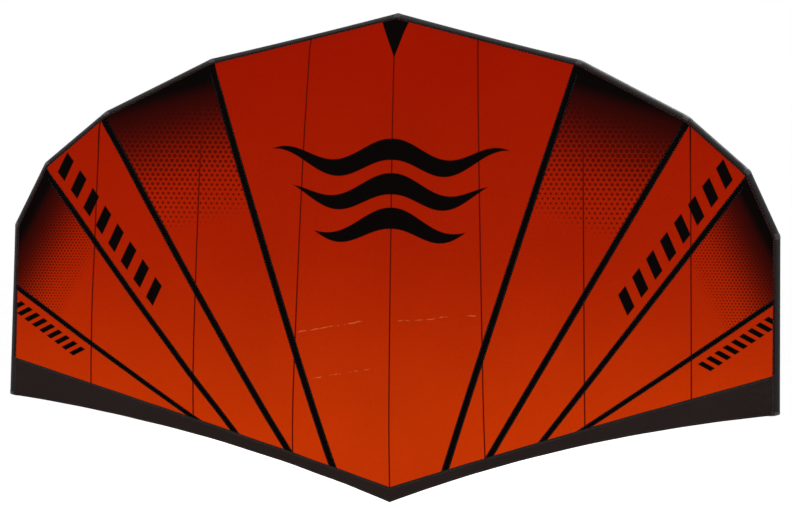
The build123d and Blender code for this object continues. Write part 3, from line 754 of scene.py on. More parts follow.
def thread(name, colour):
    """Twisted sewing thread."""
    shade = Shade(name, 0.7, Sheen_Weight=0.2)
    shade.colour(shade.shift(colour, shade.noise(700.0, 2.0), 0.75, 1.2))
    shade.bump(shade.noise(1200.0, 2.0), 0.05 * MM, 0.4)
    return shade.material


def film():
    """The translucent film of the bladders."""
    shade = Shade("bladder_film", 0.35, Coat_Weight=0.2)
    shade.colour(shade.shift(srgb(205, 206, 200), shade.noise(12.0, 3.0), 0.9, 1.05))
    shade.bump(shade.noise(30.0, 4.0), 1.0 * MM, 0.4)
    return shade.material


def foam():
    """Moulded foam with closed cells."""
    shade = Shade("foam_grip", 0.85, Sheen_Weight=0.1)
    cells = shade.noise(900.0, 2.0)
    shade.colour(shade.shift(srgb(34, 34, 37), cells, 0.75, 1.25))
    shade.bump(cells, 0.15 * MM, 0.5)
    shade.bump(shade.noise(90.0, 3.0), 0.3 * MM, 0.3)
    return shade.material


def hem_material():
    """The heavier grey-brown cloth of the trailing edge."""
    return dark_cloth("hem_cloth", HEM_GREY, 0.62, 0.0016, 0.15, shine=CANOPY_SHINE, ior=CANOPY_IOR)


PANEL = plain_panel()
FADE_INNER = faded_panel("canopy_fade_inner", *INNER_FADE)
FADE_OUTER = faded_panel("canopy_fade_outer", *OUTER_FADE)
BAND = dark_cloth("radial_band_cloth", INK, shine=CANOPY_SHINE, ior=CANOPY_IOR)
HEM = hem_material()
# The folded front edge's dark maroon is painted shade of the fold
FOLD_PAINTED_SHADE = dark_cloth("edge_fold_painted_shade", FOLD_SHADE_MAROON, shine=CANOPY_SHINE, ior=CANOPY_IOR)
SEAM = seam_material()
TUBE = dark_cloth("tube_cloth", TUBE_BLACK, 0.58, 0.0020, 0.12, 0.35, shine=0.35, ior=1.25)
TAPE = dark_cloth("seam_tape", TAPE_GREY, 0.5, 0.0010)
PATCH_CLOTH = dark_cloth("patch_cloth", PATCH_GREY, 0.55, 0.0016, 0.12)
WEBBING = dark_cloth("webbing", srgb(30, 30, 33), 0.75, 0.0014, 0.12, 0.5)
THREAD = thread("thread_grey", THREAD_GREY)
DARK_THREAD = thread("thread_dark", srgb(40, 34, 34))
FOAM = foam()
STEEL = brushed_metal()
PLASTIC = moulded("moulded_plastic", srgb(38, 38, 41), 0.42)
HOSE = moulded("hose_rubber", srgb(92, 94, 96), 0.5, 0.06)
SILICONE = moulded("silicone", srgb(196, 196, 192), 0.4, 0.05)
FILM = film()
ZIP_CLOTH = dark_cloth("zip_tape_cloth", srgb(32, 32, 34), 0.7, 0.0010)
TEETH = moulded("zip_teeth", srgb(66, 66, 70), 0.35)


# ---------------------------------------------------------------- canopy

COLUMN_SPACING = 0.021
CHORD_ROWS = 92
HEM_ROWS = 5
BAND_STEPS = {"band inner half": (0.12, 1.0), "band outer half": (0.88, 1.0)}
# Ends of the soft folds in the cloth, as place across (left is negative) and drop
FOLDS = [((-0.42, 1.375), (-0.03, 1.30)), ((-0.36, 1.57), (-0.03, 1.51)), ((0.02, 1.315), (0.42, 1.275)),
         ((0.58, 1.30), (0.72, 1.29)), ((-1.20, 0.93), (-0.88, 1.02)), ((0.86, 0.72), (1.12, 0.83))]
# Direction, pitch and phase of each slow wave in the cloth
WAVES = [(RNG.uniform(-1, 1, 2), RNG.uniform(0.14, 0.5), RNG.uniform(0, 2 * math.pi)) for _ in range(9)]


def meet(start, end, beyond):
    """Where a line from start towards end, and past it, meets the curve where a function turns positive."""
    start, end = np.array(start), np.array(end)
    low, high = 0.0, 1.6
    for _ in range(50):
        middle = (low + high) / 2
        if beyond(*(start + (end - start) * middle)) < 0:
            low = middle
        else:
            high = middle
    return start + (end - start) * low


def seam_side(across, drop):
    """Positive outside the canopy's front seam line."""
    return max(signed_distance(across, drop, *pair) for pair in zip(SEAM_LINE, SEAM_LINE[1:]))


def on_seam(start, end):
    """Where the line from end back through start leaves the canopy at its front seam."""
    return meet(end, start, seam_side)


def on_hem(start, end):
    """Where the line from start through end meets the hem's upper edge."""
    return meet(start, end, lambda across, drop: drop - hem_drop(across))


def boundary_columns():
    """The lines that the canopy's grid is ruled along, from centre to tip: top, bottom and kind of step."""
    nose = SEAM_LINE[0]
    columns = [(nose, np.array((0.0, hem_drop(0.0))), None)]
    for number, (start, end, width) in enumerate(BANDS):
        along = unit(np.subtract(end, start))
        outward = np.array((along[1], -along[0])) * width / 2
        inner = (on_seam(start - outward, end - outward), on_hem(start - outward, end - outward))
        outer = (on_seam(start + outward, end + outward), on_hem(start + outward, end + outward))
        if number == 3:
            kink = SEAM_LINE[4]
            last = columns[-1][1]
            across = last[0] + (inner[1][0] - last[0]) * 0.45
            columns.append((kink, np.array((across, hem_drop(across))), "panel"))
            middle = on_seam(start, end)
        else:
            middle = SEAM_LINE[number + 1]
        columns.append((*inner, "panel"))
        columns.append((middle, on_hem(start, end), "band inner half"))
        columns.append((*outer, "band outer half"))
    corner = meet(SEAM_LINE[4], SEAM_LINE[5], lambda across, drop: drop - hem_drop(across))
    columns.append((corner, corner, "panel"))
    return columns


def ruled_columns():
    """Top and hem ends of every column of the canopy's grid."""
    columns = boundary_columns()
    ends = [columns[0][:2]]
    for (top, bottom, _), (next_top, next_bottom, kind) in zip(columns, columns[1:]):
        widest = max(np.linalg.norm(next_top - top), np.linalg.norm(next_bottom - bottom))
        count = max(2, math.ceil(widest / COLUMN_SPACING))
        shares = BAND_STEPS.get(kind, np.arange(1, count + 1) / count)
        for share in shares:
            across = bottom[0] + (next_bottom[0] - bottom[0]) * share
            ends.append((top + (next_top - top) * share, np.array((across, hem_drop(across)))))
    return ends


def column_places(length):
    """Distances along a column: the folded edge, then rows that are closest over the tube."""
    fold = min(EDGE_FOLD, 0.2 * length)
    rest = (np.arange(1, CHORD_ROWS + 1) / CHORD_ROWS) ** 1.45
    return np.concatenate([[0.0, fold / 2, fold], fold + (length - fold) * rest])


def canopy_half():
    """Points and faces of the right half of the canopy, laid flat as half span and drop."""
    ends = ruled_columns()
    upper = []
    for top, bottom in ends:
        length = np.linalg.norm(bottom - top)
        along = (bottom - top) / max(length, 1e-9)
        upper.append([top + along * place for place in column_places(length)])
    hem = []
    widest = ends[-1][1][0]
    for _, bottom in ends:
        across = bottom[0] * SEAM_LINE[-1][0] / widest
        rear = np.array((across, rear_drop(across)))
        hem.append([bottom + (rear - bottom) * share for share in np.linspace(0, 1, HEM_ROWS + 1)])
    rows = len(upper[0])
    faces = grid_faces(len(ends), rows)
    faces += grid_faces(len(ends), HEM_ROWS + 1, start=len(ends) * rows)
    return np.vstack(upper + hem), faces


def cut_flat(work, point, normal):
    """Cuts the flat sheet along a line, given in half span and drop."""
    geometry = work.verts[:] + work.edges[:] + work.faces[:]
    bmesh.ops.bisect_plane(work, geom=geometry, dist=1e-6, plane_co=(point[0], 0, point[1]),
                           plane_no=(normal[0], 0, normal[1]))


def cut_seams(work):
    """Cuts the sheet along the nose patch's edge and both edges of each thin seam."""
    tip = np.array((0.0, NOSE_PATCH_DEPTH))
    side = np.array((NOSE_PATCH_HALF_WIDTH, -NOSE_PATCH_OVERSHOOT))
    along = unit(side - tip)
    cut_flat(work, tip, (-along[1], along[0]))
    for start, end in SEAMS:
        along = unit((end - start, CHORD))
        across = np.array((along[1], -along[0]))
        for offset in (-1.0, -0.7, 0.7, 1.0):
            if start > 0 or offset > 0:
                cut_flat(work, np.array((start, 0.0)) + across * offset * SEAM_WIDTH / 2, across)


def strut_mask(across):
    """0 over the strut, 1 away from it, so that no wrinkle reaches into the strut."""
    return smoothstep(across, 0.07, 0.16)


def relief(x, drop):
    """How far the cloth stands out from the plain canopy: tapes, billow, puckers and folds."""
    across = np.abs(x)
    edge = edge_distance(across, drop)
    nearest = np.minimum(np.abs(across), edge)
    stand = np.zeros_like(across)
    for band in BANDS:
        distance = np.abs(band_distance(across, drop, band))
        stand += 0.9 * MM * smoothstep(distance, band[2] / 2, 0.8 * band[2] / 2)
        nearest = np.minimum(nearest, distance)
    for seam in SEAMS:
        distance = np.abs(seam_distance(across, drop, seam))
        stand += 0.5 * MM * smoothstep(distance, SEAM_WIDTH / 2, 0.7 * SEAM_WIDTH / 2)
    stand += 0.7 * MM * smoothstep(drop - hem_drop(across), -0.001, 0.001)
    stand += 0.6 * MM * (edge < CANOPY_INSET + EDGE_FOLD)
    stand += 5.0 * MM * (1 - np.exp(-((nearest / 0.11) ** 2)))
    behind = smoothstep(edge, 0.10, 0.22) * strut_mask(across)
    rear = smoothstep(drop - hem_drop(across), -0.5, 0.0)
    for direction, pitch, phase in WAVES:
        run = (x * direction[0] + drop * direction[1]) / np.linalg.norm(direction)
        stand += np.sin(2 * math.pi * run / pitch + phase) * behind * (0.45 + 0.5 * rear) * MM
    pucker = 0.5 + 0.5 * np.sin(2 * math.pi * (x * 0.93 + drop * 0.37) / 0.037 + 2 * np.sin(x * 9))
    stand += 1.5 * MM * pucker * smoothstep(edge, 0.034, 0.05) * np.exp(-np.maximum(edge - 0.04, 0) / 0.05)
    along_hem = np.sin(2 * math.pi * x / 0.21 + 1.7 * np.sin(5.1 * x))
    stand += 2.2 * MM * along_hem * smoothstep(drop - hem_drop(across), -0.18, 0.03) * strut_mask(across)
    for start, end in FOLDS:
        along = unit(np.subtract(end, start))
        place = (x - start[0]) * along[0] + (drop - start[1]) * along[1]
        offset = (x - start[0]) * along[1] - (drop - start[1]) * along[0]
        length = np.linalg.norm(np.subtract(end, start))
        held = smoothstep(place, 0, 0.05) * (1 - smoothstep(place, length - 0.05, length))
        stand += 1.6 * MM * held * np.exp(-((offset / 0.012) ** 2))
    return stand


def canopy_slots(x, drop):
    """The material of each face, by its centre: see CANOPY_MATERIALS."""
    across = np.abs(x)
    slots = np.zeros(len(x), int)
    outside = [band_distance(across, drop, band) > 0 for band in BANDS]
    slots[outside[0] & ~outside[1]] = 1
    slots[outside[2] & ~outside[3]] = 2
    for seam in SEAMS:
        slots[np.abs(seam_distance(across, drop, seam)) < SEAM_WIDTH / 2] = 6
    for band in BANDS:
        slots[np.abs(band_distance(across, drop, band)) < band[2] / 2] = 3
    slots[drop > hem_drop(across)] = 4
    share = (drop + NOSE_PATCH_OVERSHOOT) / (NOSE_PATCH_DEPTH + NOSE_PATCH_OVERSHOOT)
    slots[across < NOSE_PATCH_HALF_WIDTH * (1 - share)] = 3
    # Painted shade: the folded strip at the front edge takes the dark maroon
    slots[edge_distance(across, drop) < CANOPY_INSET + EDGE_FOLD] = 5
    return slots


CANOPY_MATERIALS = [PANEL, FADE_INNER, FADE_OUTER, BAND, HEM, FOLD_PAINTED_SHADE, SEAM]


def flat_canopy():
    """A mesh of the whole canopy laid flat, as place across and drop in x and z."""
    points, faces = canopy_half()
    work = bmesh.new()
    verts = [work.verts.new((point[0], 0, point[1])) for point in points]
    for face in faces:
        work.faces.new([verts[corner] for corner in face])
    bmesh.ops.remove_doubles(work, verts=work.verts, dist=2e-5)
    cut_seams(work)
    turned = bmesh.ops.duplicate(work, geom=work.verts[:] + work.edges[:] + work.faces[:])["geom"]
    for vert in (part for part in turned if isinstance(part, bmesh.types.BMVert)):
        vert.co.x = -vert.co.x
    bmesh.ops.remove_doubles(work, verts=work.verts, dist=2e-5)
    bmesh.ops.dissolve_degenerate(work, edges=work.edges, dist=1e-6)
    bmesh.ops.recalc_face_normals(work, faces=work.faces)
    mesh = bpy.data.meshes.new("canopy")
    work.to_mesh(mesh)
    work.free()
    return mesh


def make_canopy():
    """The whole canopy as one continuous sheet."""
    mesh = flat_canopy()
    flat = np.zeros(len(mesh.vertices) * 3)
    mesh.vertices.foreach_get("co", flat)
    flat = flat.reshape(-1, 3)
    mesh.vertices.foreach_set("co", canopy_point(flat[:, 0], flat[:, 2]).ravel())
    centres = np.array([np.mean(flat[list(face.vertices)], axis=0) for face in mesh.polygons])
    for material in CANOPY_MATERIALS:
        mesh.materials.append(material)
    mesh.polygons.foreach_set("material_index", canopy_slots(centres[:, 0], centres[:, 2]))
    mesh.polygons.foreach_set("use_smooth", [True] * len(mesh.polygons))
    mesh.update()
    flip_towards(mesh, -Vector(OUT))
    piece = bpy.data.objects.new("canopy", mesh)
    bpy.context.scene.collection.objects.link(piece)
    thick = piece.modifiers.new("cloth", "SOLIDIFY")
    thick.thickness = CLOTH
    thick.offset = -1
    return piece


def flip_towards(mesh, direction):
    """Turns a sheet's faces so that most of them look one way."""
    area = sum(face.area * face.normal.dot(direction) for face in mesh.polygons)
    if area < 0:
        mesh.flip_normals()
    mesh.update()


def canopy_point(x, drop):
    """A point on the canopy's outer side."""
    x, drop = np.atleast_1d(np.asarray(x, float)), np.atleast_1d(np.asarray(drop, float))
    return np.stack([x, canopy_depth(x, drop) - relief(x, drop), NOSE - drop], axis=1)


# ---------------------------------------------------------------- inflated tubes

TUBE_SIDES = 72
TIP_CROWN = 0.007
STRUT_CROWN = 0.006
RING_SPACING = 0.024


def tube_stations():
    """Centre, plane normal, inward direction, radius and mitre of the tube, from left tip to right tip."""
    right = [np.array((across, -DIHEDRAL * across, NOSE - drop)) for across, drop in TUBE_LINE]
    centres = [point * (-1, 1, 1) for point in right[:0:-1]] + right
    radii = TUBE_RADII[:0:-1] + TUBE_RADII
    stations = []
    for index, (centre, radius) in enumerate(zip(centres, radii)):
        if index in (0, len(centres) - 1):
            neighbour = centres[1] if index == 0 else centres[-2]
            along = unit(neighbour - centre) * (1 if index == 0 else -1)
            towards = np.array((-centre[0], 0, 0))
            inward = unit(towards - along * (towards @ along))
            stations.append((centre, along, inward, radius, 1.0))
            continue
        arriving, leaving = unit(centre - centres[index - 1]), unit(centres[index + 1] - centre)
        mitre = np.linalg.norm(arriving + leaving) / 2
        stations.append((centre, unit(arriving + leaving), unit(leaving - arriving), radius, mitre))
    return stations


STATIONS = tube_stations()
NOSE_STATION = len(STATIONS) // 2


def station_ring(station, grow, angles):
    """Points of the elliptical section at a bend of the tube."""
    centre, normal, inward, radius, mitre = station
    side = np.cross(normal, inward)
    across = np.outer(np.cos(angles), inward) * (radius + grow) / mitre
    return centre + across + np.outer(np.sin(angles), side) * (radius + grow)


def tube_rings():
    """Rings of points along the leading-edge tube and whether each is under a seam tape."""
    angles = 2 * math.pi * np.arange(TUBE_SIDES) / TUBE_SIDES
    rings, taped = [], []
    for index, (first, last) in enumerate(zip(STATIONS, STATIONS[1:])):
        length = np.linalg.norm(last[0] - first[0])
        edge = SEAM_TAPE / length
        inner = np.linspace(edge * 1.08, 1 - edge * 1.08, max(4, math.ceil(length / RING_SPACING)))
        shares = np.concatenate([[0, edge * 0.5, edge], inner, [1 - edge, 1 - edge * 0.5]])
        if index == len(STATIONS) - 2:
            shares = np.append(shares, 1.0)
        start, end = station_ring(first, 0.0, angles), station_ring(last, 0.0, angles)
        for share in shares:
            ring = start + (end - start) * share
            near = min(share, 1 - share) * length
            outward = ring - (first[0] + (last[0] - first[0]) * share)
            outward /= np.linalg.norm(outward, axis=1, keepdims=True)
            rings.append(ring + outward * tube_relief(near, share * length, angles)[:, None])
            taped.append(near < SEAM_TAPE * 1.001)
    return rings, taped


def tube_relief(near, run, angles):
    """Raised seam tape at each bend, gathers on its inner side and a closing seam along the tube."""
    tape = 0.6 * MM if near < SEAM_TAPE * 1.001 else 0.0
    groove = -0.8 * MM * math.exp(-((near / 0.004) ** 2))
    inner = np.clip(np.cos(angles), 0, 1) ** 1.5
    gather = -1.6 * MM * inner * math.exp(-near / 0.07) * (0.5 + 0.5 * np.sin(9 * angles + run * 60))
    off = np.abs((angles - math.radians(28) + math.pi) % (2 * math.pi) - math.pi)
    closing = 0.7 * MM * smoothstep(off, 0.10, 0.06)
    return tape + groove + gather * (near > SEAM_TAPE) + closing


def extend_ring(points, faces, slots, last, ring, slot):
    """Adds a ring of points and joins it to the ring that starts at last. Gives the new ring's start."""
    start = len(points)
    points.extend(ring)
    for side in range(TUBE_SIDES):
        beside = (side + 1) % TUBE_SIDES
        faces.append([last + side, last + beside, start + beside, start + side])
        slots.append(slot)
    return start


def close_end(points, faces, slots, last, outward, crown, slot):
    """Domes the end of a tube from a ring that is already there."""
    ring = np.array(points[last:last + TUBE_SIDES])
    centre = np.mean(ring, axis=0)
    for share in (0.96, 0.8, 0.55, 0.3, 0.1):
        lifted = centre + (ring - centre) * share + outward * crown * (1 - share**2)
        last = extend_ring(points, faces, slots, last, lifted, slot)
    faces.append([last + side for side in range(TUBE_SIDES)])
    slots.append(slot)


def make_tube(name, materials):
    """The leading-edge tube from tip to tip as one closed skin."""
    rings, taped = tube_rings()
    points = [point for ring in rings for point in ring]
    faces = grid_faces(len(rings), TUBE_SIDES, wrap_columns=True)
    slots = []
    for row in range(len(rings) - 1):
        slots.extend([1 if taped[row] and taped[row + 1] else 0] * TUBE_SIDES)
    for first, outward in ((0, -STATIONS[0][1]), (len(points) - TUBE_SIDES, STATIONS[-1][1])):
        close_end(points, faces, slots, first, outward, TIP_CROWN, 2)
    return face_outwards(make_object(name, points, faces, materials, slots))


def strut_depth(height, radius):
    """Depth of the strut's centre, where its outer side just clears the canopy."""
    drop = NOSE - height
    top = np.interp(height, TOP_HEIGHTS, TOP_RADII)
    return -top - CANOPY_GAP - camber_depth(0.0, drop) + STRUT_CLEARANCE + radius


STRUT_DEPTHS = [strut_depth(height, radius) for height, radius in zip(STRUT_HEIGHTS, STRUT_RADII)]


def strut_section(height):
    """Depth of the strut's centre and its radius at a height."""
    heights = STRUT_HEIGHTS[::-1]
    return np.interp(height, heights, STRUT_DEPTHS[::-1]), np.interp(height, heights, STRUT_RADII[::-1])


def strut_point(height, angle, grow=0.0):
    """A point on the strut's skin; angle 0 faces the rider."""
    depth, radius = strut_section(height)
    reach = radius + grow
    return np.array((reach * math.sin(angle), depth + reach * math.cos(angle), height))


def in_nose_tube(point, grow):
    """True where a point near the centre plane is inside the leading-edge tube."""
    first, last = STATIONS[NOSE_STATION], STATIONS[NOSE_STATION + 1]
    point = np.array((abs(point[0]), point[1], point[2]))
    along = last[0] - first[0]
    share = np.clip((point - first[0]) @ along / (along @ along), 0, 1)
    radius = first[3] + (last[3] - first[3]) * share
    return np.linalg.norm(point - first[0] - along * share) < radius + grow


def strut_front(angle, grow):
    """The height at which the strut's skin leaves the leading-edge tube."""
    low, high = -0.30, 0.02
    for _ in range(40):
        middle = (low + high) / 2
        if in_nose_tube(strut_point(middle, angle), grow):
            high = middle
        else:
            low = middle
    return low


def strut_relief(height, angle):
    """Seam tapes at the strut's joints and a closing seam along it."""
    near = min(abs(height - joint) for joint in STRUT_HEIGHTS[1:3])
    tape = 0.6 * MM if near < SEAM_TAPE * 1.001 else 0.0
    groove = -0.6 * MM * math.exp(-((near / 0.004) ** 2))
    off = abs((angle - math.radians(118) + math.pi) % (2 * math.pi) - math.pi)
    swell = 0.25 * MM * math.sin(height * 47) * math.sin(3 * angle)
    return tape + groove + 0.7 * MM * float(smoothstep(off, 0.14, 0.09)) + swell


def make_strut(name, materials):
    """The strut's skin, from where it leaves the leading-edge tube to its closed rear end."""
    angles = 2 * math.pi * np.arange(TUBE_SIDES) / TUBE_SIDES
    starts = [min(strut_front(angle, 0.6 * MM), STRUT_HEIGHTS[0]) for angle in angles]
    joints = STRUT_HEIGHTS[1:3]
    heights = [joint + side * SEAM_TAPE for joint in joints for side in (-1.08, -1, -0.5, 0, 0.5, 1, 1.08)]
    for height in np.linspace(-0.16, STRUT_HEIGHTS[-1], 74):
        if all(abs(height - joint) > 1.3 * SEAM_TAPE for joint in joints):
            heights.append(height)
    heights.sort(reverse=True)
    points, taped = [], []
    for share in (0.0, 0.5):
        for angle, start in zip(angles, starts):
            height = start + (heights[0] - 0.004 - start) * share
            points.append(strut_point(height, angle))
        taped.append(False)
    for height in heights[1:]:
        for angle, start in zip(angles, starts):
            points.append(strut_point(min(height, start - 0.004), angle, strut_relief(height, angle)))
        taped.append(min(abs(height - joint) for joint in joints) < SEAM_TAPE * 1.001)
    rows = len(points) // TUBE_SIDES
    faces = grid_faces(rows, TUBE_SIDES, wrap_columns=True)
    slots = []
    for row in range(rows - 1):
        slots.extend([1 if taped[row] and taped[row + 1] else 0] * TUBE_SIDES)
    last = narrow_end(points, faces, slots)
    close_end(points, faces, slots, last, STRUT_TAIL, STRUT_CROWN, 2)
    faces.append(list(range(TUBE_SIDES)))
    slots.append(0)
    return face_outwards(make_object(name, points, faces, materials, slots))


STRUT_TAIL = unit((0, STRUT_DEPTHS[-1] - STRUT_DEPTHS[-2], STRUT_HEIGHTS[-1] - STRUT_HEIGHTS[-2]))
TAIL_SHARE = 0.55


def narrow_end(points, faces, slots):
    """Narrows the strut's rear end over the length of its end patch."""
    last = len(points) - TUBE_SIDES
    ring = np.array(points[last:])
    centre = np.mean(ring, axis=0)
    for share in (0.12, 0.5, 1.0):
        size = 1 - (1 - TAIL_SHARE) * share**1.6
        narrowed = centre + (ring - centre) * size + STRUT_TAIL * END_PATCH_LENGTH * share
        last = extend_ring(points, faces, slots, last, narrowed, 2)
    return last


# ---------------------------------------------------------------- handles, patches and small pieces


def joint(name):
    """A joint's origin and axis."""
    row = next(row for row in frame["joints"] if row["name"] == name)
    return np.array(row.get("pos_m", (0, 0, 0)), float), np.array(row["axis"], float)


def centre_of(node):
    """The middle of a CAD node's box."""
    low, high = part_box(node)
    return np.array((low + high) / 2)


def settle(piece, body):
    """Lets a piece ride on a body."""
    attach(piece, body)
    return piece


GRIP_RADIUS = 0.0168
HANDLE_AXIS_HEIGHT = 0.008
STRUT_HANDLE_ROOT = 0.138
STRUT_HANDLE_TOP = 0.112
NOSE_HANDLE_ROOT = 0.088
NOSE_HANDLE_TOP = 0.072
BAR_WRAP = 0.0095
SEWN_HEIGHT = PATCH + WEBBING_THICKNESS / 2 + 0.0003
BOX_LENGTH = 0.016
BOX_WIDTH = 0.018


def grip_relief(place, angle):
    """Moulded finger rings and a crossed tread on a foam grip."""
    ring = -0.5 * MM * max(0.0, math.cos(2 * math.pi * place / 0.021)) ** 6
    tread = 0.22 * MM * math.sin(14 * angle + place * 420) * math.sin(14 * angle - place * 420)
    return ring + tread


def make_grip(name, centre, axis, length, body):
    """A foam grip: turned, with rounded ends, finger rings and a sunk end face."""
    half = length / 2
    profile = [(-half + 0.0015, 0.006), (-half + 0.0015, 0.0105), (-half, 0.0122), (-half + 0.0008, 0.0148)]
    profile += [(-half + 0.003, 0.0162)]
    profile += [(place, GRIP_RADIUS) for place in np.linspace(-half + 0.006, half - 0.006, 96)]
    profile += [(-place, radius) for place, radius in profile[4::-1]]
    heap = Heap()
    add_lathe(heap, centre, axis, profile, 64, lambda place, angle: grip_relief(place, angle)
              if abs(place) < half - 0.005 else 0.0)
    piece = heap.object(name, [FOAM])
    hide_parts(f"{body}_grip")
    return settle(piece, body)


def strap_line(root, top, rise):
    """Half of a strut handle's webbing: sewn flat on the strut, up, and into the grip."""
    foot = SEWN_HEIGHT - HANDLE_AXIS_HEIGHT
    sewn = [(-root - 0.020, foot), (-root - 0.004, foot), (-root + 0.012, foot)]
    rising = [(-root + 0.019, foot + 0.008), (-top - 0.001, rise * 0.55)]
    return sewn + rising + [(-top + 0.008, rise - 0.004), (-top + 0.030, rise)]


def add_box_stitch(threads, corner, along, aside, outward, length, width):
    """A box with a cross in it, sewn through webbing."""
    ahead, beside = along * length, aside * width
    points = [corner, corner + ahead, corner + ahead + beside, corner + beside]
    for first, last in ((0, 1), (1, 2), (2, 3), (3, 0), (0, 2), (1, 3)):
        line = np.linspace(points[first], points[last], 8)
        add_stitches(threads, line, outward, 0.0042, 0.0005)


def make_strut_handle(name, surface, patches, threads):
    """One handle on the strut: its grip, its webbing and the two patches that it is sewn to."""
    origin, along = joint(f"{name}_flop")
    grip = centre_of(f"{name}_grip")
    rise = np.linalg.norm(grip - origin)
    outward = unit(grip - origin)
    aside = np.cross(outward, along)
    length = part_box(f"{name}_grip")[1].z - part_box(f"{name}_grip")[0].z
    make_grip(f"{name}_foam_grip", grip, along, length, name)
    half = strap_line(STRUT_HANDLE_ROOT, STRUT_HANDLE_TOP, rise)
    corners = half + [(-place, height) for place, height in half[::-1]]
    line = np.array([origin + along * place + outward * height for place, height in smooth_path(corners)])
    heap = Heap()
    add_ribbon(heap, line, aside)
    strap = heap.object(f"{name}_strap", [WEBBING])
    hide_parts(f"{name}_webbing")
    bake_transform(strap)
    for sign in (-1, 1):
        where = origin + along * sign * (STRUT_HANDLE_ROOT + 0.006)
        add_patch(patches, threads, surface, where, outward, along, 0.036, 0.024)
        height = SEWN_HEIGHT - HANDLE_AXIS_HEIGHT + WEBBING_THICKNESS * 0.6
        corner = where - aside * BOX_WIDTH / 2 + outward * height - along * 0.012
        add_box_stitch(threads, corner, along, aside, outward, BOX_LENGTH, BOX_WIDTH)


def nose_leg_line(surface, sign):
    """One leg of the leading-edge handle: sewn on the tube, down, round the bar and back up."""
    axis = joint("leading_edge_handle_flop")[0]
    bar = centre_of("leading_edge_handle_grip")
    root = NOSE_HANDLE_ROOT - WEBBING_WIDTH / 2
    top = NOSE_HANDLE_TOP - WEBBING_WIDTH / 2
    rises = (0.047, 0.036, 0.024, 0.012, 0.002)
    sewn = [(sign * root, axis[1], axis[2] + rise) for rise in rises]
    line = list(surface.lay(sewn, OUT, SEWN_HEIGHT))
    line.append((sign * (root - 0.003), axis[1] - 0.0015, axis[2] - 0.012))
    # Place inwards from the leg's foot on the bar, then outwards and up from the bar's centre
    wrap = [(0.004, 0.002, 0.026), (0, BAR_WRAP, 0.008), (0, BAR_WRAP, -0.0075), (0, 0, -0.0115),
            (0, -BAR_WRAP, -0.0075), (0, -BAR_WRAP, 0.008), (0.004, -0.0035, 0.024), (0.009, -0.0045, 0.036)]
    line += [(sign * (top + across), bar[1] + out, bar[2] + up) for across, out, up in wrap]
    return smooth_path(np.array(line), 3)


def cord_relief(place, angle):
    """The shallow twist in the surface of a laid cord."""
    return 0.15 * MM * math.sin(place * 2400 + 2 * angle)


def make_nose_handle(surface, patches, threads):
    """The leading-edge handle: a barred grip that hangs from two sewn legs."""
    name = "leading_edge_handle"
    axis = joint(f"{name}_flop")[0]
    bar = centre_of(f"{name}_grip")
    low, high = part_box(f"{name}_grip")
    make_grip(f"{name}_foam_grip", bar, (1, 0, 0), high.x - low.x, name)
    heap = Heap()
    for sign in (-1, 1):
        add_ribbon(heap, nose_leg_line(surface, sign), (1.0, 0.0, 0.0))
        centre = np.array((sign * (NOSE_HANDLE_ROOT - WEBBING_WIDTH / 2), axis[1], axis[2] + 0.026))
        add_patch(patches, threads, surface, centre, (0, 1, 0), (0, 0, 1), 0.036, 0.024)
        sewn = surface.lay([centre], (0, 1, 0), SEWN_HEIGHT + WEBBING_THICKNESS * 0.6)[0]
        up = unit(surface.lay([centre + (0, 0, 0.012)], (0, 1, 0), SEWN_HEIGHT)[0]
                  - surface.lay([centre - (0, 0, 0.012)], (0, 1, 0), SEWN_HEIGHT)[0])
        outward = np.cross(up, (-1.0, 0.0, 0.0))
        corner = sewn - up * BOX_LENGTH / 2 - RIGHT * BOX_WIDTH / 2
        add_box_stitch(threads, corner, up, RIGHT, outward, BOX_LENGTH, BOX_WIDTH)
    straps = heap.object(f"{name}_straps", [WEBBING])
    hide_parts(f"{name}_webbing")
    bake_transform(straps)
    core = Heap()
    half = NOSE_HANDLE_TOP + 0.004
    profile = [(-half, 0.004), (-half, 0.0062), (-half + 0.002, 0.0074)]
    profile += [(place, 0.0078) for place in np.linspace(-half + 0.006, half - 0.006, 40)]
    profile += [(-place, radius) for place, radius in profile[2::-1]]
    add_lathe(core, bar, RIGHT, profile, 24, cord_relief)
    settle(core.object(f"{name}_bar", [WEBBING]), name)


def make_ring_sleeve(surface, patches, threads):
    """The folded webbing loop that holds the leash ring, and its patch."""
    bar = joint("leash_ring_swing")[0]
    skin = surface.lay([bar], (0, 1, 0), 0.0)[0][1]
    low, over = skin + SEWN_HEIGHT, skin + SEWN_HEIGHT + 1.15 * WEBBING_THICKNESS
    line = [(0, low, bar[2] + 0.036), (0, low, bar[2] + 0.016), (0, low, bar[2] + 0.004),
            (0, bar[1] - 0.0036, bar[2] - 0.0022), (0, bar[1] - 0.001, bar[2] - 0.0048),
            (0, bar[1] + 0.0030, bar[2] - 0.0040), (0, bar[1] + 0.0040, bar[2] + 0.0010),
            (0, over + 0.001, bar[2] + 0.008), (0, over, bar[2] + 0.014), (0, over, bar[2] + 0.034)]
    heap = Heap()
    add_ribbon(heap, smooth_path(line, 3), (1.0, 0, 0), 0.015, 0.0016)
    loop = heap.object("leash_ring_loop", [WEBBING])
    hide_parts("leash_ring_sleeve")
    settle(loop, "wing")
    add_patch(patches, threads, surface, bar + UP * 0.020, OUT, UP, 0.030, 0.020)
    corner = np.array((-0.0055, over + 0.0009, bar[2] + 0.017))
    add_box_stitch(threads, corner, UP, RIGHT, OUT, 0.013, 0.011)


VALVE_COLLAR_RADIUS = 0.0212
VALVE_STITCH_RADIUS = 0.0270
VALVE_PATCH_RADIUS = 0.045


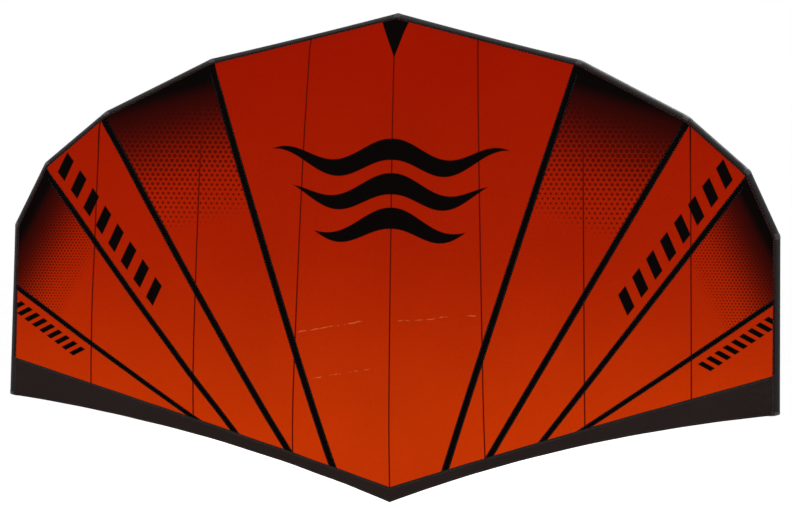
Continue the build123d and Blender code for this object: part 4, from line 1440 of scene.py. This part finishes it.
def make_valve_patch(surface, patches, threads):
    """The round patch that the inflation valve is sewn through."""
    origin, outward = joint("valve_insert_twist")
    radius = VALVE_PATCH_RADIUS
    hole = VALVE_COLLAR_RADIUS / radius
    add_patch(patches, threads, surface, origin, outward, UP, radius, radius, hole=hole, power=2.0)
    aside = unit(np.cross(outward, UP))
    up = np.cross(aside, outward)
    angles = np.linspace(0, 2 * math.pi, 40, endpoint=False)
    ring = np.outer(np.cos(angles), aside) + np.outer(np.sin(angles), up)
    line = surface.lay(origin + VALVE_STITCH_RADIUS * ring, outward, PATCH + 0.2 * MM)
    add_stitches(threads, line, outward, 0.005, closed=True)


ZIP_TAPE_INNER = 0.0009
ZIP_TAPE_OUTER = 0.0118
ZIP_TAPE_THICKNESS = 1.1 * MM
TOOTH_PITCH = 0.0026
TOOTH_HEIGHT = 2.3 * MM
TOOTH_FACES = [(0, 1, 3, 2), (4, 6, 7, 5), (0, 4, 5, 1), (2, 3, 7, 6), (0, 2, 6, 4), (1, 5, 7, 3)]


def add_zip_tape(heap, surface, sign, heights, depth):
    """One of the two tapes of the zip, laid on the strut."""
    outer = ZIP_TAPE_OUTER
    section = [(ZIP_TAPE_INNER, 0.5), (0.5 * outer, 0.9), (0.86 * outer, 1.0), (outer, 0.5)]
    section += [(place, 0.05) for place, _ in section[::-1]]
    rows = []
    for place, share in section:
        line = [(sign * place, depth, height) for height in heights]
        rows.append(surface.lay(line, OUT, share * ZIP_TAPE_THICKNESS))
    heap.add(*closed_strip(np.stack(rows, axis=1)))


def add_tooth(heap, base, sign):
    """One tooth, narrower at its root."""
    corners = []
    for place, size in ((-0.0006, 0.40), (0.0016, 0.30)):
        for rise in (0.7 * MM, TOOTH_HEIGHT):
            for side in (-1, 1):
                corners.append(base + (sign * place, rise, side * size * TOOTH_PITCH))
    heap.add(corners, TOOTH_FACES, 1)


def make_zip(surface):
    """The zip on the strut: two tapes with moulded teeth that mesh."""
    low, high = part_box("strut_zip_tape")
    heap = Heap()
    for sign in (-1, 1):
        add_zip_tape(heap, surface, sign, np.linspace(low.z, high.z, 90), high.y)
    for number, height in enumerate(np.arange(low.z + 0.008, high.z - 0.008, TOOTH_PITCH)):
        base = surface.lay([(0, high.y, height)], OUT, 0.0)[0]
        add_tooth(heap, base, 1 if number % 2 else -1)
    stop = surface.lay([(0, high.y, high.z - 0.005)], OUT, 1.2 * MM)[0]
    profile = [(-0.003, 0.0006), (-0.0028, 0.0013), (0.0028, 0.0013), (0.003, 0.0006)]
    add_lathe(heap, stop, RIGHT, profile, 12, slot=1)
    piece = heap.object("strut_zip", [ZIP_CLOTH, TEETH])
    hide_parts("strut_zip_tape")
    return settle(piece, "wing")


RING_ANGLES = 2 * math.pi * np.arange(48) / 48
THREAD_LIFT = 0.9 * MM
TAPE_ROWS = (0.0045, 0.0085)


def add_tube_threads(threads):
    """Two rows of stitches on each side of every seam tape round the tubes."""
    for index in range(1, len(STATIONS) - 1):
        centre = STATIONS[index][0]
        here = station_ring(STATIONS[index], THREAD_LIFT, RING_ANGLES)
        for other in (STATIONS[index - 1], STATIONS[index + 1]):
            there = station_ring(other, THREAD_LIFT, RING_ANGLES)
            for offset in TAPE_ROWS:
                line = here + (there - here) * offset / np.linalg.norm(other[0] - centre)
                add_stitches(threads, line, line - centre, 0.007, 0.004, closed=True)
    for joint_height in STRUT_HEIGHTS[1:3]:
        for offset in (*TAPE_ROWS, *[-row for row in TAPE_ROWS]):
            height = joint_height + offset
            line = np.array([strut_point(height, angle, THREAD_LIFT) for angle in RING_ANGLES])
            depth, radius = strut_section(height)
            outward = (line - (0, depth, height)) / radius
            add_stitches(threads, line, outward, 0.007, 0.0005, closed=True)


def stitch_canopy(threads, across, drop, lift=0.15 * MM, spacing=0.011):
    """A row of stitches on the canopy's outer side."""
    points = canopy_point(across, drop) - OUT * lift
    add_stitches(threads, points, -OUT, spacing, 0.0006)


def add_canopy_threads(threads):
    """Stitches along both edges of every radial band, along the hem and along the leading-edge seam."""
    for sign in (-1, 1):
        for start, end, width in BANDS:
            along = unit(np.subtract(end, start))
            outward = np.array((along[1], -along[0]))
            for offset in (-0.38, 0.38):
                shifted = start + outward * offset * width, end + outward * offset * width
                first, last = on_seam(*shifted), on_hem(*shifted)
                line = first + np.outer(np.linspace(0.012, 1, 60), last - first)
                stitch_canopy(threads, sign * line[:, 0], line[:, 1])
        across = np.linspace(0, 0.985 * SEAM_LINE[-1][0], 90)
        for drop in (hem_drop(across) + 0.005, hem_drop(across) + 0.010, rear_drop(across) - 0.007):
            stitch_canopy(threads, sign * across, drop)
        for inset_by in (0.0285, 0.0325):
            corners = inset([inset_by] * len(CORNERS))
            for first, last in zip(corners, corners[1:]):
                row = first + np.outer(np.linspace(0, 1, 30), last - first)
                stitch_canopy(threads, sign * row[:, 0], row[:, 1], 0.1 * MM, 0.010)


def make_gussets(patches):
    """Strips of tube cloth that join the strut to the canopy, one each side, narrow at both ends."""
    heights = np.linspace(-0.150, -1.890, 120)
    lift = (0, CLOTH + 0.3 * MM, 0)
    for sign in (-1, 1):
        rows = []
        for height in heights:
            spread = 0.014 * float(smoothstep(min(heights[0] - height, height - heights[-1]), 0, 0.06))
            high = strut_point(height, math.pi - sign * math.radians(36), 0.5 * MM)
            low = strut_point(height, math.pi - sign * math.radians(24)) + (sign * 0.002, -0.001, 0)
            near = canopy_point(sign * 0.034, NOSE - height)[0] + lift
            far = canopy_point(sign * (0.035 + spread), NOSE - height)[0] + lift
            line = smooth_path([high, low, near, far], 2)
            rows.append(np.vstack([line, (line + (0, 0.6 * MM, 0))[::-1]]))
        patches.add(*closed_strip(rows), 1)


def make_strut_collar(surface, threads):
    """The saddle tape that covers the seam between the strut and the leading-edge tube."""
    turns = np.linspace(-math.pi, math.pi, 2 * TUBE_SIDES)
    met = [(angle, strut_front(angle, 0.0)) for angle in turns]
    met = [(angle, start) for angle, start in met if start < STRUT_HEIGHTS[0] - 0.004]
    heap = Heap()
    rows = []
    for angle, start in met:
        foot = strut_point(start, angle)
        inward = unit((0, strut_section(start)[0], start) - foot)
        laid, normal, _, _ = surface.tree.find_nearest(Vector(foot - inward * 0.013 + (0, 0, 0.004)))
        low = strut_point(start - 0.016, angle, 1.2 * MM)
        bend = strut_point(start - 0.002, angle, 2.2 * MM) - inward * 0.6 * MM
        line = smooth_path([np.array(laid + normal * 1.2 * MM), bend, low], 3)
        rows.append(np.vstack([line, (line + inward * 0.012)[::-1]]))
    heap.add(*closed_strip(rows))
    lower = np.array([strut_point(start - 0.011, angle, 1.6 * MM) for angle, start in met])
    add_stitches(threads, lower, (0, 1, 0), 0.006, 0.0005)
    return settle(heap.object("strut_saddle_tape", [TAPE]), "wing")


# ---------------------------------------------------------------- the wing


SIDES = ("left", "right")


def make_sheet():
    """The canopy, in place of every cloth part of it in CAD."""
    canopy = make_canopy()
    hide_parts(*[f"canopy_panel_{side}_{number}" for side in SIDES for number in range(1, 6)])
    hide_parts(*[f"radial_band_{side}_{number}" for side in SIDES for number in range(1, 5)])
    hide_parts("trailing_edge_hem_left", "trailing_edge_hem_right", "nose_patch")
    return settle(canopy, "wing")


def make_inflated():
    """The leading-edge tube and the strut."""
    cloths = [TUBE, TAPE, PATCH_CLOTH]
    tube = make_tube("leading_edge_tube", cloths)
    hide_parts(*[f"leading_edge_casing_{side}_{number}" for side in SIDES for number in range(1, 6)])
    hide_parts("tip_end_patches")
    settle(tube, "wing")
    strut = make_strut("strut_tube", cloths)
    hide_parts("strut_casing", "strut_end_patch")
    settle(strut, "wing")
    return tube, strut


def make_fittings(tube, strut):
    """Everything that is sewn to the tubes, and all the stitches."""
    on_tube, on_strut = Surface(tube), Surface(strut)
    patches, threads, dark_threads = Heap(), Heap(), Heap()
    make_nose_handle(on_tube, patches, threads)
    for name in ("front_handle", "rear_handle"):
        make_strut_handle(name, on_strut, patches, threads)
    make_ring_sleeve(on_strut, patches, threads)
    make_valve_patch(on_tube, patches, threads)
    make_zip(on_strut)
    make_gussets(patches)
    make_strut_collar(on_tube, threads)
    add_tube_threads(dark_threads)
    add_canopy_threads(dark_threads)
    cloth = patches.object("sewn_patches", [PATCH_CLOTH, TUBE])
    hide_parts("leading_edge_handle_anchors", "strut_handle_anchors", "inflation_valve_patch")
    settle(cloth, "wing")
    settle(threads.object("patch_stitching", [THREAD]), "wing")
    settle(dark_threads.object("seam_stitching", [DARK_THREAD]), "wing")


def make_wing():
    """Every soft piece of the wing."""
    canopy = make_sheet()
    tube, strut = make_inflated()
    make_fittings(tube, strut)


def finish_nodes():
    """Gives the CAD nodes that stay in view their materials."""
    looks = {
        "steel": STEEL, "hose": HOSE, "silicone": SILICONE, "bladder_film": FILM, "moulded_plastic": PLASTIC,
        "canopy_cloth": PANEL, "dark_cloth": BAND, "tube_cloth": TUBE, "webbing": WEBBING,
        "patch_cloth": PATCH_CLOTH, "foam_grip": FOAM, "zip": ZIP_CLOTH,
    }
    for row in frame["record"]["subparts"]:
        node = frame["nodes"][row["node"]]
        look = looks[row["material_slot"]]
        if not node.material_slots:
            node.data.materials.append(look)
        for place in node.material_slots:
            place.material = look


def make_stage():
    """A plain pale floor under the wing."""
    size = 60.0
    low = CAD_BOX[0].z - 0.25
    shade = Shade("floor_paper", 0.9)
    shade.colour(shade.shift(srgb(254, 254, 254), shade.noise(0.6, 2.0), 0.99, 1.01))
    corners = [(-size, -size, low), (size, -size, low), (size, size, low), (-size, size, low)]
    floor = make_object("floor", corners, [(0, 1, 2, 3)], [shade.material], smooth=False)


def make_light(name, place, target, size, power):
    """A soft square light aimed at a point."""
    data = bpy.data.lights.new(name, "AREA")
    data.shape = "SQUARE"
    data.size = size
    data.energy = power
    light = bpy.data.objects.new(name, data)
    light.location = place
    light.rotation_euler = (Vector(target) - Vector(place)).to_track_quat("-Z", "Y").to_euler()
    bpy.context.scene.collection.objects.link(light)


def make_lights():
    """Soft studio light from the front, the rear and all round."""
    middle = (0.0, 0.0, -0.9)
    make_light("key", (-2.8, -5.0, 1.8), middle, 3.0, 60)
    make_light("fill", (3.4, -5.4, -0.2), middle, 3.0, 40)
    make_light("rear_key", (2.6, 4.6, 2.2), middle, 2.6, 170)
    make_light("rear_fill", (-3.4, 4.2, 0.2), middle, 2.6, 80)
    world = bpy.data.worlds.new("studio")
    world.use_nodes = True
    world.node_tree.nodes["Background"].inputs["Color"].default_value = (1.0, 1.0, 1.0, 1.0)
    world.node_tree.nodes["Background"].inputs["Strength"].default_value = 1.0
    bpy.context.scene.world = world


CAMERA_DISTANCE = 8.0
CAMERA_AZIMUTH = 7.25
CAMERA_ELEVATION = 0.46
CAMERA_ROLL = 0.95
CAMERA_LENS = 84.95
CAMERA_TARGET = (0.007, 0.0, -0.951)


def make_camera():
    """A camera square on to the canopy, turned and rolled a little."""
    data = bpy.data.cameras.new("camera")
    data.lens = CAMERA_LENS
    data.clip_end = 200
    camera = bpy.data.objects.new("camera", data)
    turn, rise = math.radians(CAMERA_AZIMUTH), math.radians(CAMERA_ELEVATION)
    back = Vector((math.sin(turn) * math.cos(rise), -math.cos(turn) * math.cos(rise), math.sin(rise)))
    camera.location = Vector(CAMERA_TARGET) + back * CAMERA_DISTANCE
    aim = (-back).to_track_quat("-Z", "Y").to_matrix().to_4x4()
    roll = Matrix.Rotation(math.radians(CAMERA_ROLL), 4, "Z")
    camera.rotation_euler = (aim @ roll).to_euler()
    bpy.context.scene.collection.objects.link(camera)
    bpy.context.scene.camera = camera
    bpy.context.scene.view_settings.view_transform = "Standard"


make_camera()
make_stage()
make_lights()
make_wing()
finish_nodes()
